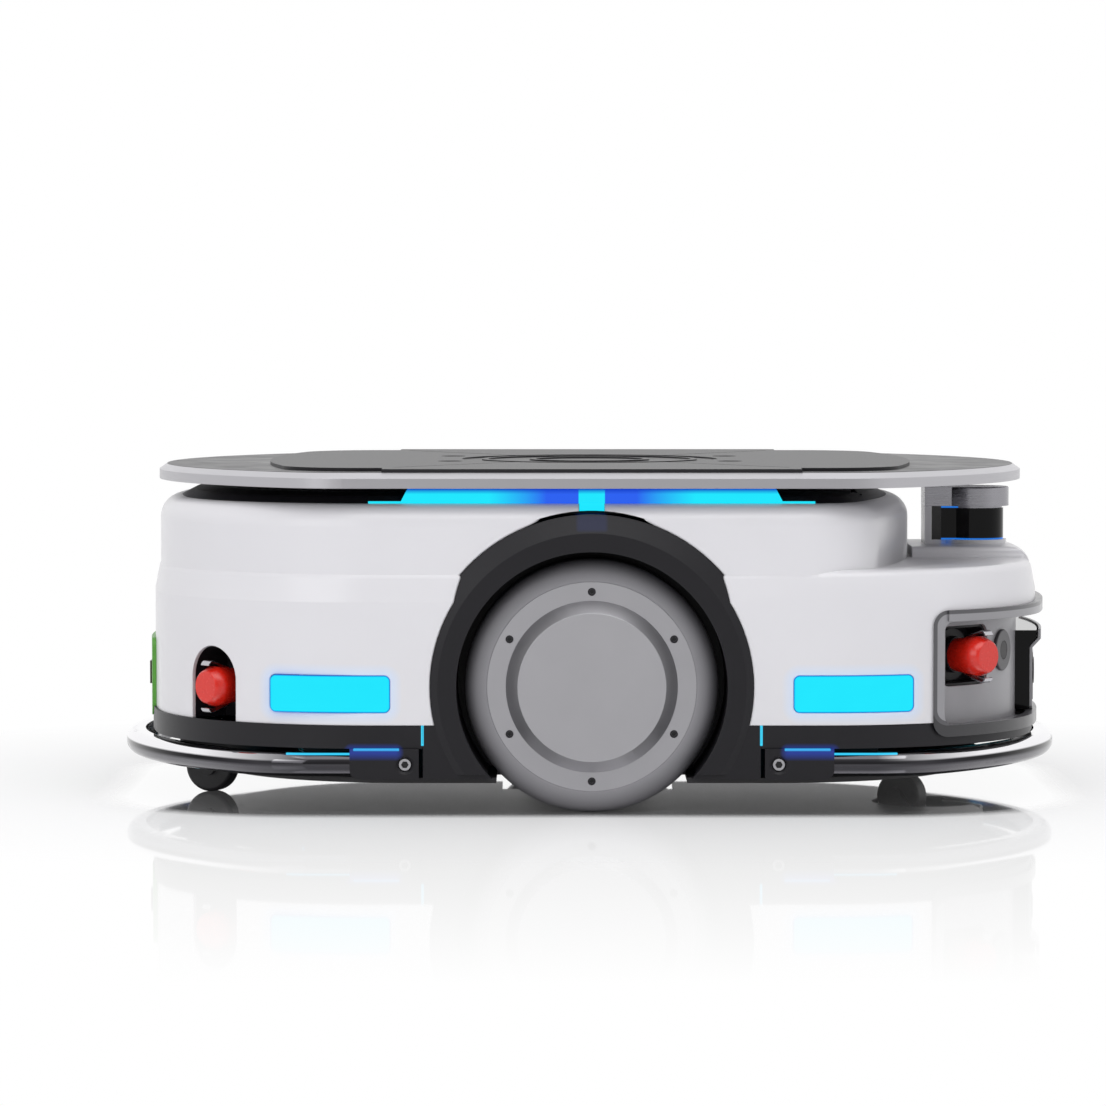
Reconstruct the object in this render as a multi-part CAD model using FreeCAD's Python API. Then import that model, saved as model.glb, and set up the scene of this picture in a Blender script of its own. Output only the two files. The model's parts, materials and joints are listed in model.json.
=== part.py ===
import FreeCAD, Part
import math
import os

# Low lifting robot, in millimetres. +X is the driving direction, +Y the left side, +Z up.
# The origin lies on the floor under the middle of the machine.

# Clearances
fit_gap = 0.3
running_gap = 0.05
slide_gap = 0.6
hole_gap = 0.25

# White body, in plan: two flat sides, a bowed nose and a bowed tail
side_y = 247.4
upper_side_y = 242.9
nose_x = 354.0
tail_x = 345.6
end_bow = 600.0
end_corner = 172.0
wall = 3.0
skirt_z = 50.0
shell_z = 67.6
waist_z = 160.0
shelf_z = 184.0
shelf_round = 8.0
shell_top_z = 233.5
top_round = 17.0
cabin_front_x = 253.0
cabin_corner = 62.0

# Black deck that closes the body under the lift plate
deck_edge_z = 226.0
deck_ledge = 3.5
deck_ledge_width = 3.5
deck_top_z = 241.0
deck_slope = 28.0
deck_bend = 10.0
deck_bend_z = 238.5
deck_plate = 4.0
deck_floor_z = 220.0
deck_floor = 3.0

# Skirt below the white shells
skirt_flange = 14.0
skirt_plate = 2.5
skirt_nose_x = 352.0
skirt_tail_x = 347.6

# Drive wheels
wheel_radius = 96.0
tyre_wall_y = 238.0
tyre_width = 50.0
tyre_depth = 17.2
tyre_shoulder = 13.0
tyre_lip = 1.2
rim_disc = 6.0
rim_drum = 12.0
rim_boss_radius = 20.0
rim_boss = 3.0
cover_radius = 64.8
cover_face_radius = 55.7
cover_height = 9.4
cover_skin = 2.5
hub_screw_circle = 71.5
hub_screw_count = 6
hub_screw_head = 3.0
hub_screw_length = 9.0
hub_screw_recess = 1.2
axle_radius = 12.0
axle_end_gap = 1.0
stator_radius = 58.0
stator_width = 26.0
stator_gap = 4.0

# Wheel arches
arch_gap = 6.0
arch_face_y = 250.0
arch_face = 14.0
arch_slope = 1.97
arch_skin = 3.0
arch_flange = 3.0
arch_axle_gap = 2.0
arch_undercut = 1.2
arch_back_y = 178.0
arch_foot_z = 30.6
side_panel_x = 127.0
side_panel = 9.0

# Chassis
tray_z = 23.0
tray_plate = 4.0
tray_end_x = 316.0
tray_side_y = 236.0
tray_bow = 300.0
tray_corner = 150.0
tray_slot_x = 72.0
tray_slot_y = 172.0
rail_y = 138.0
rail_height = 95.0
rail_plate = 4.0
rail_end_x = 222.0
rail_hole = 22.0
rail_hole_x = (-185.0, -120.0, 120.0, 185.0)

# Lift: plate, pad, frame, posts and spindle drive
lift_travel = 60.0
plate_end_x = 343.0
plate_side_y = 249.0
plate_bow = 300.0
plate_corner = 70.0
plate_z = 245.6
plate_edge = 7.5
plate_bevel = 4.4
plate_bevel_run = 6.4
pad_height = 2.5
pad_half_x = 254.0
pad_half_y = 216.0
pad_bow = 767.0
pad_corner = 60.0
pad_band_x = 158.0
pad_hub_radius = 102.0
pad_ring_radii = (86.0, 48.0)
pad_ring_width = 5.0
pad_ring_depth = 1.2
pad_hole_x = 110.0
pad_hole_y = 61.0
pad_hole_radius = 10.0
plate_hole_radius = 3.4
groove_width = 2.2
groove_depth = 0.9
groove_end = 14.0
frame_half_x = 200.0
frame_half_y = 148.0
frame_bar = 12.0
frame_bars_x = 7
frame_bars_y = 5
frame_hub_radius = 30.0
frame_height = 22.0
plate_skin = 6.0
plate_rim = 12.0
frame_gap = 5.0
post_x = 176.0
post_y = 118.0
post_radius = 10.0
post_foot_z = 50.0
tube_wall = 5.0
tube_top_z = 196.0
spindle_radius = 17.0
spindle_foot_z = 70.0
column_radius = 42.0
column_top_z = 190.0
lift_motor_radius = 29.0
lift_motor_x = -86.0
lift_motor_height = 120.0

# Bumpers
bumper_tip_x = 370.0
bumper_bow = 300.0
bumper_corner = 95.0
bumper_side_y = 247.2
bumper_z = 28.3
bumper_height = 18.4
bumper_depth = 15.0
bumper_web = 9.0
bumper_web_plate = 3.0
bumper_web_z = 36.0
bumper_web_x = 190.0
bumper_round = 8.5
bumper_travel = 8.0
bumper_end_x = 161.0

# Bumper brackets beside the wheels
bracket_x0 = 130.0
bracket_x1 = 182.0
bracket_y = 250.0
bracket_depth = 26.0
bracket_stop = 1.0
bracket_round = 7.0
bracket_screw_x = 140.5
bracket_screw_z = 38.0
bracket_screw_head = 5.0
bracket_screw_length = 20.0
bracket_screw_recess = 2.0

# Swivel casters
caster_pivots = (("rear", -276.0, -74.0, -20.0), ("front", 276.0, 74.0, -35.0))
caster_radius = 20.0
caster_width = 17.0
caster_trail = 23.0
caster_axle = 3.0
caster_fork_plate = 2.5
caster_fork_gap = 1.5
caster_crown_z = 46.0
caster_crown = 4.0
caster_crown_radius = 16.0
caster_stem = 6.0
caster_stem_top_z = 64.0
caster_boss_radius = 10.0
caster_cup_radius = 44.5
caster_cup_wall = 2.0
caster_cup_z = 54.0
caster_cup_plate = 3.0
caster_housing_radius = 13.0
caster_housing = 9.0

# Lights
side_light_x = (151.6, 242.6)
side_light_z = (77.0, 105.0)
side_light_corner = 4.5
bar_light_x = 144.0
bar_light_taper = 5.0
bar_light_line_x = 168.5
bar_light_line = 1.5
bar_light_top_z = 244.5
bar_light_depth = 4.0
stub_light_x = 9.5

# Laser scanner on the nose
scanner_x = 308.0
pedestal_half_y = 62.0
pedestal_z = 192.5
pedestal_end_x = 339.0
scanner_base_radius = 25.5
scanner_base = 3.5
scanner_window_radius = 23.2
scanner_window = 25.0
scanner_neck = 1.7
scanner_cap_radius = 27.4
scanner_cap = 15.3
scanner_back_x = 267.0
scanner_back = 13.0
scanner_back_half_y = 19.0

# Front sensor bay
bay_x = 258.0
bezel_z = (56.5, 152.5)
bezel_bar = 9.0
bezel_proud = 1.6
bezel_corner = 12.0
bezel_lip = 6.0
bezel_lip_z = 144.0
bay_depth = 15.0
bay_plate = 2.5
pod_half_y = 80.0
pod_front_x = 359.0
pod_top_z = 129.0
pod_round = 6.0
pod_frame = 4.0
pod_window_depth = 3.0
lens_y = (-45.0, 45.0)
lens_radius = 11.0
lens_depth = 4.0

# Controls on the nose and tail
estop_front_z = 116.0
estop_rear_z = 93.0
estop_turn = 45.0
estop_proud = 7.0
estop_stem_radius = 11.0
estop_cap_radii = (13.0, 17.0, 12.5)
estop_cap_length = 25.0
estop_travel = 5.0
estop_base_radius = 20.0
estop_base = 6.0
estop_body_radius = 14.0
estop_body = 30.0
guard_width = 15.0
guard_plate = 1.6
guard_reach = 28.0
guard_half_gap = 19.0
guard_curl = 5.0
niche_width = 50.0
niche_top_z = 124.0
front_niche_height = 42.0
niche_corner = 6.0
niche_depth = 36.0
niche_plate = 2.0
power_turn = 26.0
power_z = 117.0
power_ring_radius = 16.0
power_ring = 2.4
power_button_radius = 7.2
power_button_length = 12.0
power_barrel_radius = 10.2
power_travel = 1.5

# Charging panel on the tail
panel_z = (60.0, 121.0)
panel_half_y = 70.0
panel_proud = 3.1
panel_corner = 8.0
contact_half_y = 22.0
contact_z = (82.0, 100.0)
contact_width = 14.0
contact_height = 22.0
contact_proud = 1.2
contact_length = 12.0

# Pieces inside
battery_x = (-214.0, -120.0)
battery_half_y = 92.0
battery_height = 112.0
battery_lid = 8.0
controller_x = (60.0, 214.0)
controller_half_y = 88.0
controller_height = 86.0
controller_fin = 3.0
controller_fin_pitch = 9.0
controller_fin_height = 10.0
drive_box_x = (60.0, 130.0)
drive_box_y = (146.0, 170.0)
drive_box_height = 60.0
motor_plate = 10.0
motor_plate_half_x = 46.0
motor_plate_top = 34.0

tray_top_z = tray_z + tray_plate
bezel_depth = 6.0
wheel_z = wheel_radius
rim_radius = wheel_radius - tyre_depth
arch_radius = wheel_radius + arch_gap
cover_face_y = tyre_wall_y + cover_height
plate_top_z = plate_z + plate_edge + plate_bevel
frame_z = plate_z - frame_height
bumper_top_z = bumper_z + bumper_height


def write(name, *shapes):
    """One node: its solids in one STEP file."""
    solids = [solid for shape in shapes for solid in shape.Solids]
    node = solids[0] if len(solids) == 1 else Part.makeCompound(solids)
    assert node.isValid(), name
    node.exportStep("parts/" + name + ".step")


def box(x0, x1, y0, y1, z0, z1):
    return Part.makeBox(x1 - x0, y1 - y0, z1 - z0, FreeCAD.Vector(x0, y0, z0))


def rod(radius, start, axis, length):
    return Part.makeCylinder(radius, length, FreeCAD.Vector(*start), FreeCAD.Vector(*axis))


def mirrored(shape, x=0.0, y=0.0):
    normal = FreeCAD.Vector(x, y, 0)
    return shape.mirror(FreeCAD.Vector(0, 0, 0), normal)


def turned(shape, degrees, place):
    """The shape turned about Z, then moved to its place."""
    moved = shape.copy()
    moved.rotate(FreeCAD.Vector(0, 0, 0), FreeCAD.Vector(0, 0, 1), degrees)
    moved.translate(FreeCAD.Vector(*place))
    return moved


def polygon(points):
    vectors = [FreeCAD.Vector(*point) for point in points]
    return Part.Face(Part.makePolygon(vectors + vectors[:1]))


def revolved(profile, centre, axis):
    """A closed profile of (radius, height) turned about the axis through centre."""
    face = polygon([(radius, 0, height) for radius, height in profile])
    solid = face.revolve(FreeCAD.Vector(0, 0, 0), FreeCAD.Vector(0, 0, 1), 360)
    turn = FreeCAD.Rotation(FreeCAD.Vector(0, 0, 1), FreeCAD.Vector(*axis))
    solid.Placement = FreeCAD.Placement(FreeCAD.Vector(*centre), turn)
    return solid


def fused(*shapes):
    first, *rest = shapes
    return first.fuse(rest).removeSplitter() if rest else first


def end_edges(sign, tip, bow, corner, half_width, z):
    """The rounded end of a plan outline, from its +Y side to its -Y side for a +X end."""
    centre_x = tip - bow
    reach = math.sqrt((bow - corner) ** 2 - (half_width - corner) ** 2)
    corner_x = centre_x + reach
    corner_y = half_width - corner
    turn = math.atan2(corner_y, reach)
    middle = (turn + math.pi / 2) / 2

    def spot(x, y):
        return FreeCAD.Vector(sign * x, sign * y, z)

    start = spot(corner_x, half_width)
    bend = spot(corner_x + corner * math.cos(middle), corner_y + corner * math.sin(middle))
    join = spot(centre_x + bow * math.cos(turn), bow * math.sin(turn))
    far_bend = FreeCAD.Vector(bend.x, -bend.y, z)
    far_join = FreeCAD.Vector(join.x, -join.y, z)
    finish = FreeCAD.Vector(start.x, -start.y, z)
    arcs = [(start, bend, join), (join, spot(tip, 0), far_join), (far_join, far_bend, finish)]
    return [Part.Arc(*arc).toShape() for arc in arcs], start, finish


def outline(front, rear, half_width, z, inset=0.0):
    """A closed plan outline; each end is (tip, bow radius, corner radius)."""
    front_edges, front_start, front_finish = end_edges(
        1, *[size - inset for size in front], half_width - inset, z)
    rear_edges, rear_start, rear_finish = end_edges(
        -1, *[size - inset for size in rear], half_width - inset, z)
    far_side = Part.makeLine(front_finish, rear_start)
    near_side = Part.makeLine(rear_finish, front_start)
    return Part.Wire(front_edges + [far_side] + rear_edges + [near_side])


def slab(wire, z0, z1):
    face = Part.Face(wire)
    face.translate(FreeCAD.Vector(0, 0, z0 - wire.BoundBox.ZMin))
    return face.extrude(FreeCAD.Vector(0, 0, z1 - z0))


def edges_at(shape, z, tolerance=0.01):
    return [e for e in shape.Edges
            if abs(e.BoundBox.ZMin - z) < tolerance and abs(e.BoundBox.ZMax - z) < tolerance]


def rounded_window(x0, x1, z0, z1, corner, y0, y1):
    """A prism along Y whose outline in X and Z has rounded corners."""
    prism = box(x0, x1, y0, y1, z0, z1)
    uprights = [e for e in prism.Edges if e.BoundBox.YLength > abs(y1 - y0) - 0.01]
    return prism.makeFillet(corner, uprights)


# Plan outlines of the white body
low_nose = (nose_x, end_bow, end_corner)
low_tail = (tail_x, end_bow, end_corner)
waist_step = side_y - upper_side_y
high_nose = (nose_x - waist_step, end_bow, end_corner)
high_tail = (tail_x - waist_step, end_bow, end_corner)
cabin_nose = (cabin_front_x, end_bow, cabin_corner)


def low_outline(z, inset=0.0):
    return outline(low_nose, low_tail, side_y, z, inset)


def cabin_outline(z, inset=0.0):
    return outline(cabin_nose, high_tail, upper_side_y, z, inset)


def body_form(inset, foot_z, top_cut=0.0):
    """The outer form of the white body, or a parallel form further in."""
    low = slab(low_outline(0, inset), foot_z, waist_z)
    shelf = shelf_z - inset
    rounding = max(shelf_round - inset, 1.0)
    high = outline(high_nose, high_tail, upper_side_y, shelf, inset)
    waist = Part.makeLoft([low_outline(waist_z, inset), high], True, True)
    nose_edges = [e for e in edges_at(waist, shelf) if e.BoundBox.XMin > side_panel_x]
    waist = waist.makeFillet(rounding, nose_edges)
    cabin_foot = waist_z + rounding
    cabin = slab(cabin_outline(0, inset), cabin_foot, shell_top_z - inset + top_cut)
    cabin = cabin.makeFillet(top_round - inset, edges_at(cabin, shell_top_z - inset + top_cut))
    return fused(low, waist, cabin)


def layer(outer_inset, inner_inset, z0, z1):
    """A band that follows the lower body outline."""
    return slab(low_outline(0, outer_inset), z0, z1).cut(
        slab(low_outline(0, inner_inset), z0, z1))


body_outer = body_form(0.0, shell_z)
body_inner = body_form(wall, shell_z)


# Wheel arches: a dished ring round each wheel, its well and the two panels beside it
def arch_cone(extra):
    """The space that an arch fills in the body side, with extra all round."""
    foot_y = upper_side_y - arch_undercut
    foot_radius = arch_radius + arch_face + (arch_face_y - foot_y) * arch_slope
    profile = [
        (0, arch_back_y),
        (foot_radius + extra, arch_back_y),
        (foot_radius + extra, foot_y),
        (arch_radius + arch_face + extra, arch_face_y + extra),
        (0, arch_face_y + extra),
    ]
    return revolved(profile, (0, 0, wheel_z), (0, 1, 0))


def wheel_arch():
    foot_radius = arch_radius + arch_face + (arch_face_y - upper_side_y) * arch_slope
    well_radius = arch_radius + arch_skin
    back_y = arch_back_y - arch_skin
    hole = axle_radius + arch_axle_gap
    ring = revolved([
        (hole, back_y),
        (well_radius, back_y),
        (well_radius, upper_side_y - arch_flange),
        (foot_radius, upper_side_y - arch_flange),
        (foot_radius, upper_side_y),
        (arch_radius + arch_face, arch_face_y),
        (arch_radius, arch_face_y),
        (arch_radius, arch_back_y),
        (hole, arch_back_y),
    ], (0, 0, wheel_z), (0, 1, 0))
    ring = ring.cut(box(-foot_radius, foot_radius, 0, arch_face_y + 1, -foot_radius, arch_foot_z))
    panel = box(-side_panel_x, side_panel_x, side_y - side_panel, side_y, tray_top_z, shell_z - fit_gap)
    well = rod(arch_radius, (0, arch_back_y, wheel_z), (0, 1, 0), arch_face_y)
    return fused(ring, panel.cut(well))


arch_left = wheel_arch()
arch_right = mirrored(arch_left, y=1)
write("wheel_arch_left", arch_left)
write("wheel_arch_right", arch_right)
arch_space = fused(arch_cone(fit_gap), mirrored(arch_cone(fit_gap), y=1))


# Places on the rounded corners of the body, by the direction that they face
def corner_place(turn, tip, inset, z):
    """A point inset from the corner of the lower body that faces turn degrees from +X."""
    centre_x = tip - end_bow
    reach = math.sqrt((end_bow - end_corner) ** 2 - (side_y - end_corner) ** 2)
    radius = end_corner - inset
    x = centre_x + reach + radius * math.cos(math.radians(turn))
    y = side_y - end_corner + radius * math.sin(math.radians(turn))
    return x, y, z


def at_corners(shape, front_z, rear_z):
    """Copies of a shape, built along +X from the body surface, at its four corners."""
    front_x, front_y, _ = corner_place(estop_turn, nose_x, 0, 0)
    rear_x, rear_y, _ = corner_place(estop_turn, tail_x, 0, 0)
    return {
        "front_left": turned(shape, estop_turn, (front_x, front_y, front_z)),
        "front_right": turned(shape, -estop_turn, (front_x, -front_y, front_z)),
        "rear_left": turned(shape, 180 - estop_turn, (-rear_x, rear_y, rear_z)),
        "rear_right": turned(shape, 180 + estop_turn, (-rear_x, -rear_y, rear_z)),
    }


# Emergency stops: seat, guard and cap, built along +X from the body surface
seat_x = -niche_depth
collar_x = seat_x + estop_base
cap_x = estop_proud - estop_cap_length
body_x = cap_x - estop_travel - slide_gap


def estop_seat():
    collar = rod(estop_base_radius, (seat_x, 0, 0), (1, 0, 0), estop_base)
    body = rod(estop_body_radius, (seat_x - estop_body, 0, 0), (1, 0, 0), body_x - seat_x + estop_body)
    bore_x = body_x - estop_travel - slide_gap - estop_base
    bore = rod(estop_stem_radius + running_gap, (bore_x, 0, 0), (1, 0, 0), estop_body)
    return fused(collar, body).cut(bore)


def estop_cap():
    neck, flare, face = estop_cap_radii
    stem_x = body_x - estop_base
    bevel_x = estop_proud - (flare - face) * 0.7
    flare_x = cap_x + estop_cap_length * 0.55
    return revolved([
        (0, stem_x),
        (estop_stem_radius, stem_x),
        (estop_stem_radius, cap_x),
        (neck, cap_x),
        (neck + 1, cap_x + estop_cap_length * 0.25),
        (flare, flare_x),
        (flare, bevel_x),
        (face, estop_proud),
        (0, estop_proud),
    ], (0, 0, 0), (1, 0, 0))


def estop_guard():
    half = guard_half_gap + guard_plate
    disc = rod(half, (collar_x, 0, 0), (1, 0, 0), guard_plate)
    disc = disc.cut(rod(estop_body_radius + hole_gap, (collar_x - 1, 0, 0), (1, 0, 0), estop_base))
    arm_x = collar_x + guard_reach
    arm = box(collar_x, arm_x, -guard_width / 2, guard_width / 2, guard_half_gap, half)
    curl_face = polygon([
        (arm_x, -guard_width / 2, guard_half_gap),
        (arm_x, guard_width / 2, guard_half_gap),
        (arm_x, guard_width / 2, half),
        (arm_x, -guard_width / 2, half),
    ])
    curl_centre = FreeCAD.Vector(arm_x, 0, half + guard_curl)
    curl = curl_face.revolve(curl_centre, FreeCAD.Vector(0, -1, 0), 65)
    upper = arm.fuse(curl)
    lower = upper.mirror(FreeCAD.Vector(0, 0, 0), FreeCAD.Vector(0, 0, 1))
    return fused(disc, upper, lower)


def front_niche(extra):
    half_y = niche_width / 2 + extra
    half_z = front_niche_height / 2 + extra
    prism = box(seat_x - extra, -bay_depth, -half_y, half_y, -half_z, half_z)
    long_edges = [e for e in prism.Edges if e.BoundBox.XLength > niche_depth - bay_depth - 0.01]
    return prism.makeFillet(niche_corner + extra, long_edges)


def rear_niche(extra, outer_x):
    """Arch-topped opening; its foot is on top of the skirt."""
    half = niche_width / 2 + extra
    foot = shell_z - estop_rear_z
    top = niche_top_z - estop_rear_z - niche_width / 2
    prism = box(seat_x - extra, outer_x, -half, half, foot, top)
    arch = rod(half, (seat_x - extra, 0, top), (1, 0, 0), outer_x - seat_x + extra)
    return fused(prism, arch)


caps = at_corners(estop_cap(), estop_front_z, estop_rear_z)
for corner, cap in caps.items():
    write("estop_cap_" + corner, cap)
write("estop_seats", *at_corners(estop_seat(), estop_front_z, estop_rear_z).values())
write("estop_guards", *at_corners(estop_guard(), estop_front_z, estop_rear_z).values())

rear_form = rear_niche(0, estop_stem_radius)
niche_keys = ("rear_left", "rear_right")
niches = []
rear_cup = rear_niche(niche_plate, -wall).cut(rear_niche(0, 1.0))
front_cup = front_niche(niche_plate).cut(front_niche(0).fuse(
    box(-bay_depth - 1, 0, -niche_width, niche_width, -niche_width, niche_width)))
seat_hole = rod(estop_body_radius + hole_gap, (seat_x - niche_plate - 1, 0, 0), (1, 0, 0), estop_base)
rear_cups = at_corners(rear_cup.cut(seat_hole), estop_front_z, estop_rear_z)
front_cups = at_corners(front_cup.cut(seat_hole), estop_front_z, estop_rear_z)
inside = slab(low_outline(0, wall), skirt_z, waist_z)
bay_inside = slab(low_outline(0, bay_depth + bay_plate), skirt_z, waist_z)
write("estop_niches",
      front_cups["front_left"].common(bay_inside), front_cups["front_right"].common(bay_inside),
      rear_cups["rear_left"].common(inside), rear_cups["rear_right"].common(inside))
rear_holes = at_corners(rear_niche(0, niche_width), 0, estop_rear_z)
front_holes = at_corners(front_niche(niche_plate), estop_front_z, 0)


# Front bay: a channel behind the nose, with the bezel round its mouth
low_bezel_z, high_bezel_z = bezel_z


def bay_window(inset, extra=0.0):
    """The mouth of the bay, as a prism across the whole nose."""
    grow = inset - extra
    corner = bezel_corner - inset * 0.6
    return rounded_window(bay_x + grow, bay_x + nose_x, low_bezel_z + grow, high_bezel_z - grow,
                          corner, -side_y - wall, side_y + wall)


bezel_step = 2.0
bay_mouth = bay_window(bezel_bar)
bay_hole = bay_window(bezel_step, fit_gap)


def front_bezel():
    face = layer(-bezel_proud, 0, skirt_z, waist_z).common(bay_window(0))
    liner = layer(0, bezel_depth, skirt_z, waist_z).common(bay_window(bezel_step))
    lip_tip = (nose_x + bezel_lip, end_bow, end_corner)
    lip = slab(outline(lip_tip, low_tail, side_y, 0), bezel_lip_z, high_bezel_z)
    lip = lip.cut(slab(low_outline(0), bezel_lip_z, high_bezel_z))
    lip = lip.common(box(bay_x + bezel_corner, bay_x + nose_x, -side_y, side_y, 0, waist_z))
    return fused(face, liner).cut(bay_mouth).fuse(lip).removeSplitter()


def front_panel():
    floor = bay_depth + bay_plate
    foot = low_bezel_z + bezel_step
    top = high_bezel_z - bezel_step
    channel = layer(bezel_depth, floor, foot, top).common(
        box(bay_x + bezel_step, nose_x, -side_y, side_y, foot, top))
    hollow = layer(0, bay_depth, foot + bay_plate, top - bay_plate).common(
        box(bay_x + bezel_step + bay_plate, nose_x, -side_y, side_y, foot, top))
    channel = channel.cut(hollow)
    channel = channel.cut(front_holes["front_left"]).cut(front_holes["front_right"])
    ring_x, ring_y, _ = corner_place(power_turn, nose_x, floor, 0)
    hole = rod(power_barrel_radius + hole_gap, (-bay_depth, 0, 0), (1, 0, 0), 2 * bay_depth)
    return channel.cut(turned(hole, -power_turn, (ring_x, -ring_y, power_z)))


write("front_bezel", front_bezel())
write("front_panel", front_panel())


# White shells and the black skirt below them
def layer_window(x_range, z_range, corner, gap, inset):
    """A rounded window through the side wall, to the depth given by inset."""
    x0, x1 = x_range
    z0, z1 = z_range
    return rounded_window(x0 - gap, x1 + gap, z0 - gap, z1 + gap, corner + gap,
                          side_y - inset, side_y + wall)


def side_light_places(shape):
    """The same light on all four quarters."""
    ahead = [shape, mirrored(shape, y=1)]
    return ahead + [mirrored(one, x=1) for one in ahead]


light_reach = 30.0
light_hole = layer_window(side_light_x, side_light_z, side_light_corner, hole_gap, light_reach)
light_block = layer_window(side_light_x, side_light_z, side_light_corner, 0, light_reach)
panel_block = box(-tail_x - end_corner, -tail_x + end_corner, -panel_half_y, panel_half_y, *panel_z)
panel_block = panel_block.makeFillet(
    panel_corner, [e for e in panel_block.Edges if e.BoundBox.XLength > end_corner])


def stub_block(gap):
    return box(-stub_light_x - gap, stub_light_x + gap, -side_y, side_y, waist_z, plate_z)


deck_opening = slab(cabin_outline(0, top_round), deck_edge_z - top_round, plate_z)
shells = body_outer.cut(body_inner).cut(deck_opening).cut(arch_space).cut(stub_block(hole_gap))
shells = shells.cut([piece for piece in side_light_places(light_hole)])
shells = shells.cut(list(rear_holes.values())[2:]).cut(bay_hole)
pedestal_block = box(cabin_front_x + 1, pedestal_end_x + 15, -pedestal_half_y, pedestal_half_y,
                     shelf_z - wall, pedestal_z)
upper_edges = [e for e in pedestal_block.Edges if e.BoundBox.ZMin > pedestal_z - 0.01]
front_edge = [e for e in upper_edges if e.BoundBox.XMin > pedestal_end_x]
pedestal_block = pedestal_block.makeChamfer(pedestal_z - shelf_z + wall - 0.5, front_edge)
pedestal_sides = [e for e in pedestal_block.Edges
                  if e.BoundBox.ZMin > pedestal_z - 0.01 and e.BoundBox.YLength < 1]
pedestal_block = pedestal_block.makeFillet(4.0, pedestal_sides)
front_half = box(0, nose_x + wall, -side_y, side_y, 0, plate_z)
front_shell = shells.common(front_half).fuse(pedestal_block).removeSplitter()
write("front_shell", front_shell)


def skirt():
    nose = (skirt_nose_x, end_bow, end_corner)
    tail = (skirt_tail_x, end_bow, end_corner)

    def form(inset, foot_z):
        return slab(outline(nose, tail, side_y, 0, inset), foot_z, shell_z)

    band = form(0, skirt_z).cut(form(wall, skirt_z + skirt_plate)).cut(form(skirt_flange, skirt_z))
    ends = band.cut(box(-side_panel_x - fit_gap, side_panel_x + fit_gap, -side_y, side_y, 0, shell_z))
    return ends.cut(bay_hole).cut(panel_block)


skirt_ends = skirt()
write("front_skirt", skirt_ends.common(front_half))
write("rear_skirt", skirt_ends.common(mirrored(front_half, x=1)))

rear_panel = layer(-panel_proud, 0, *panel_z).common(panel_block)
contact_y = (-contact_half_y, contact_half_y)
contact_x = -tail_x - panel_proud - contact_proud
contacts = [
    box(contact_x, contact_x + contact_length, y - contact_width / 2, y + contact_width / 2,
        contact_z[0], contact_z[1])
    for y in contact_y
]
contact_holes = [
    box(contact_x, contact_x + end_corner, y - contact_width / 2 - fit_gap, y + contact_width / 2 + fit_gap,
        contact_z[0] - fit_gap, contact_z[1] + fit_gap)
    for y in contact_y
]
write("rear_panel", rear_panel.cut(contact_holes))
write("rear_shell", shells.common(mirrored(front_half, x=1)).cut(contact_holes))
write("charge_contacts", *contacts)

# Lights let into the shell, and the light bars on the deck edge
light_layer = layer(0, wall, shell_z, waist_z)
write("side_lights", *side_light_places(light_layer.common(light_block)))


def top_light():
    """A light bar, its thin line and the stub that runs down to the arch."""
    outer_y = upper_side_y - top_round
    inner_y = outer_y - bar_light_depth
    line_top_z = shell_top_z + bar_light_line
    bar = polygon([
        (-bar_light_x, inner_y, line_top_z),
        (bar_light_x, inner_y, line_top_z),
        (bar_light_x - bar_light_taper, inner_y, bar_light_top_z),
        (bar_light_taper - bar_light_x, inner_y, bar_light_top_z),
    ]).extrude(FreeCAD.Vector(0, bar_light_depth, 0))
    line = box(-bar_light_line_x, bar_light_line_x, inner_y, outer_y, shell_top_z, line_top_z)
    skin = body_outer.cut(body_inner).common(stub_block(0)).cut(arch_space)
    stub = skin.common(box(-stub_light_x, stub_light_x, inner_y, side_y, waist_z, shell_top_z))
    return fused(bar, line, stub)


light_left = top_light()
write("top_lights", light_left, mirrored(light_left, y=1))


# Deck with the well that the lift frame sinks into
well_x = frame_half_x + frame_gap
well_y = frame_half_y + frame_gap
light_slot_y = upper_side_y - top_round - bar_light_depth - hole_gap
post_places = [(x, y) for x in (-post_x, post_x) for y in (-post_y, post_y)]


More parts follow.
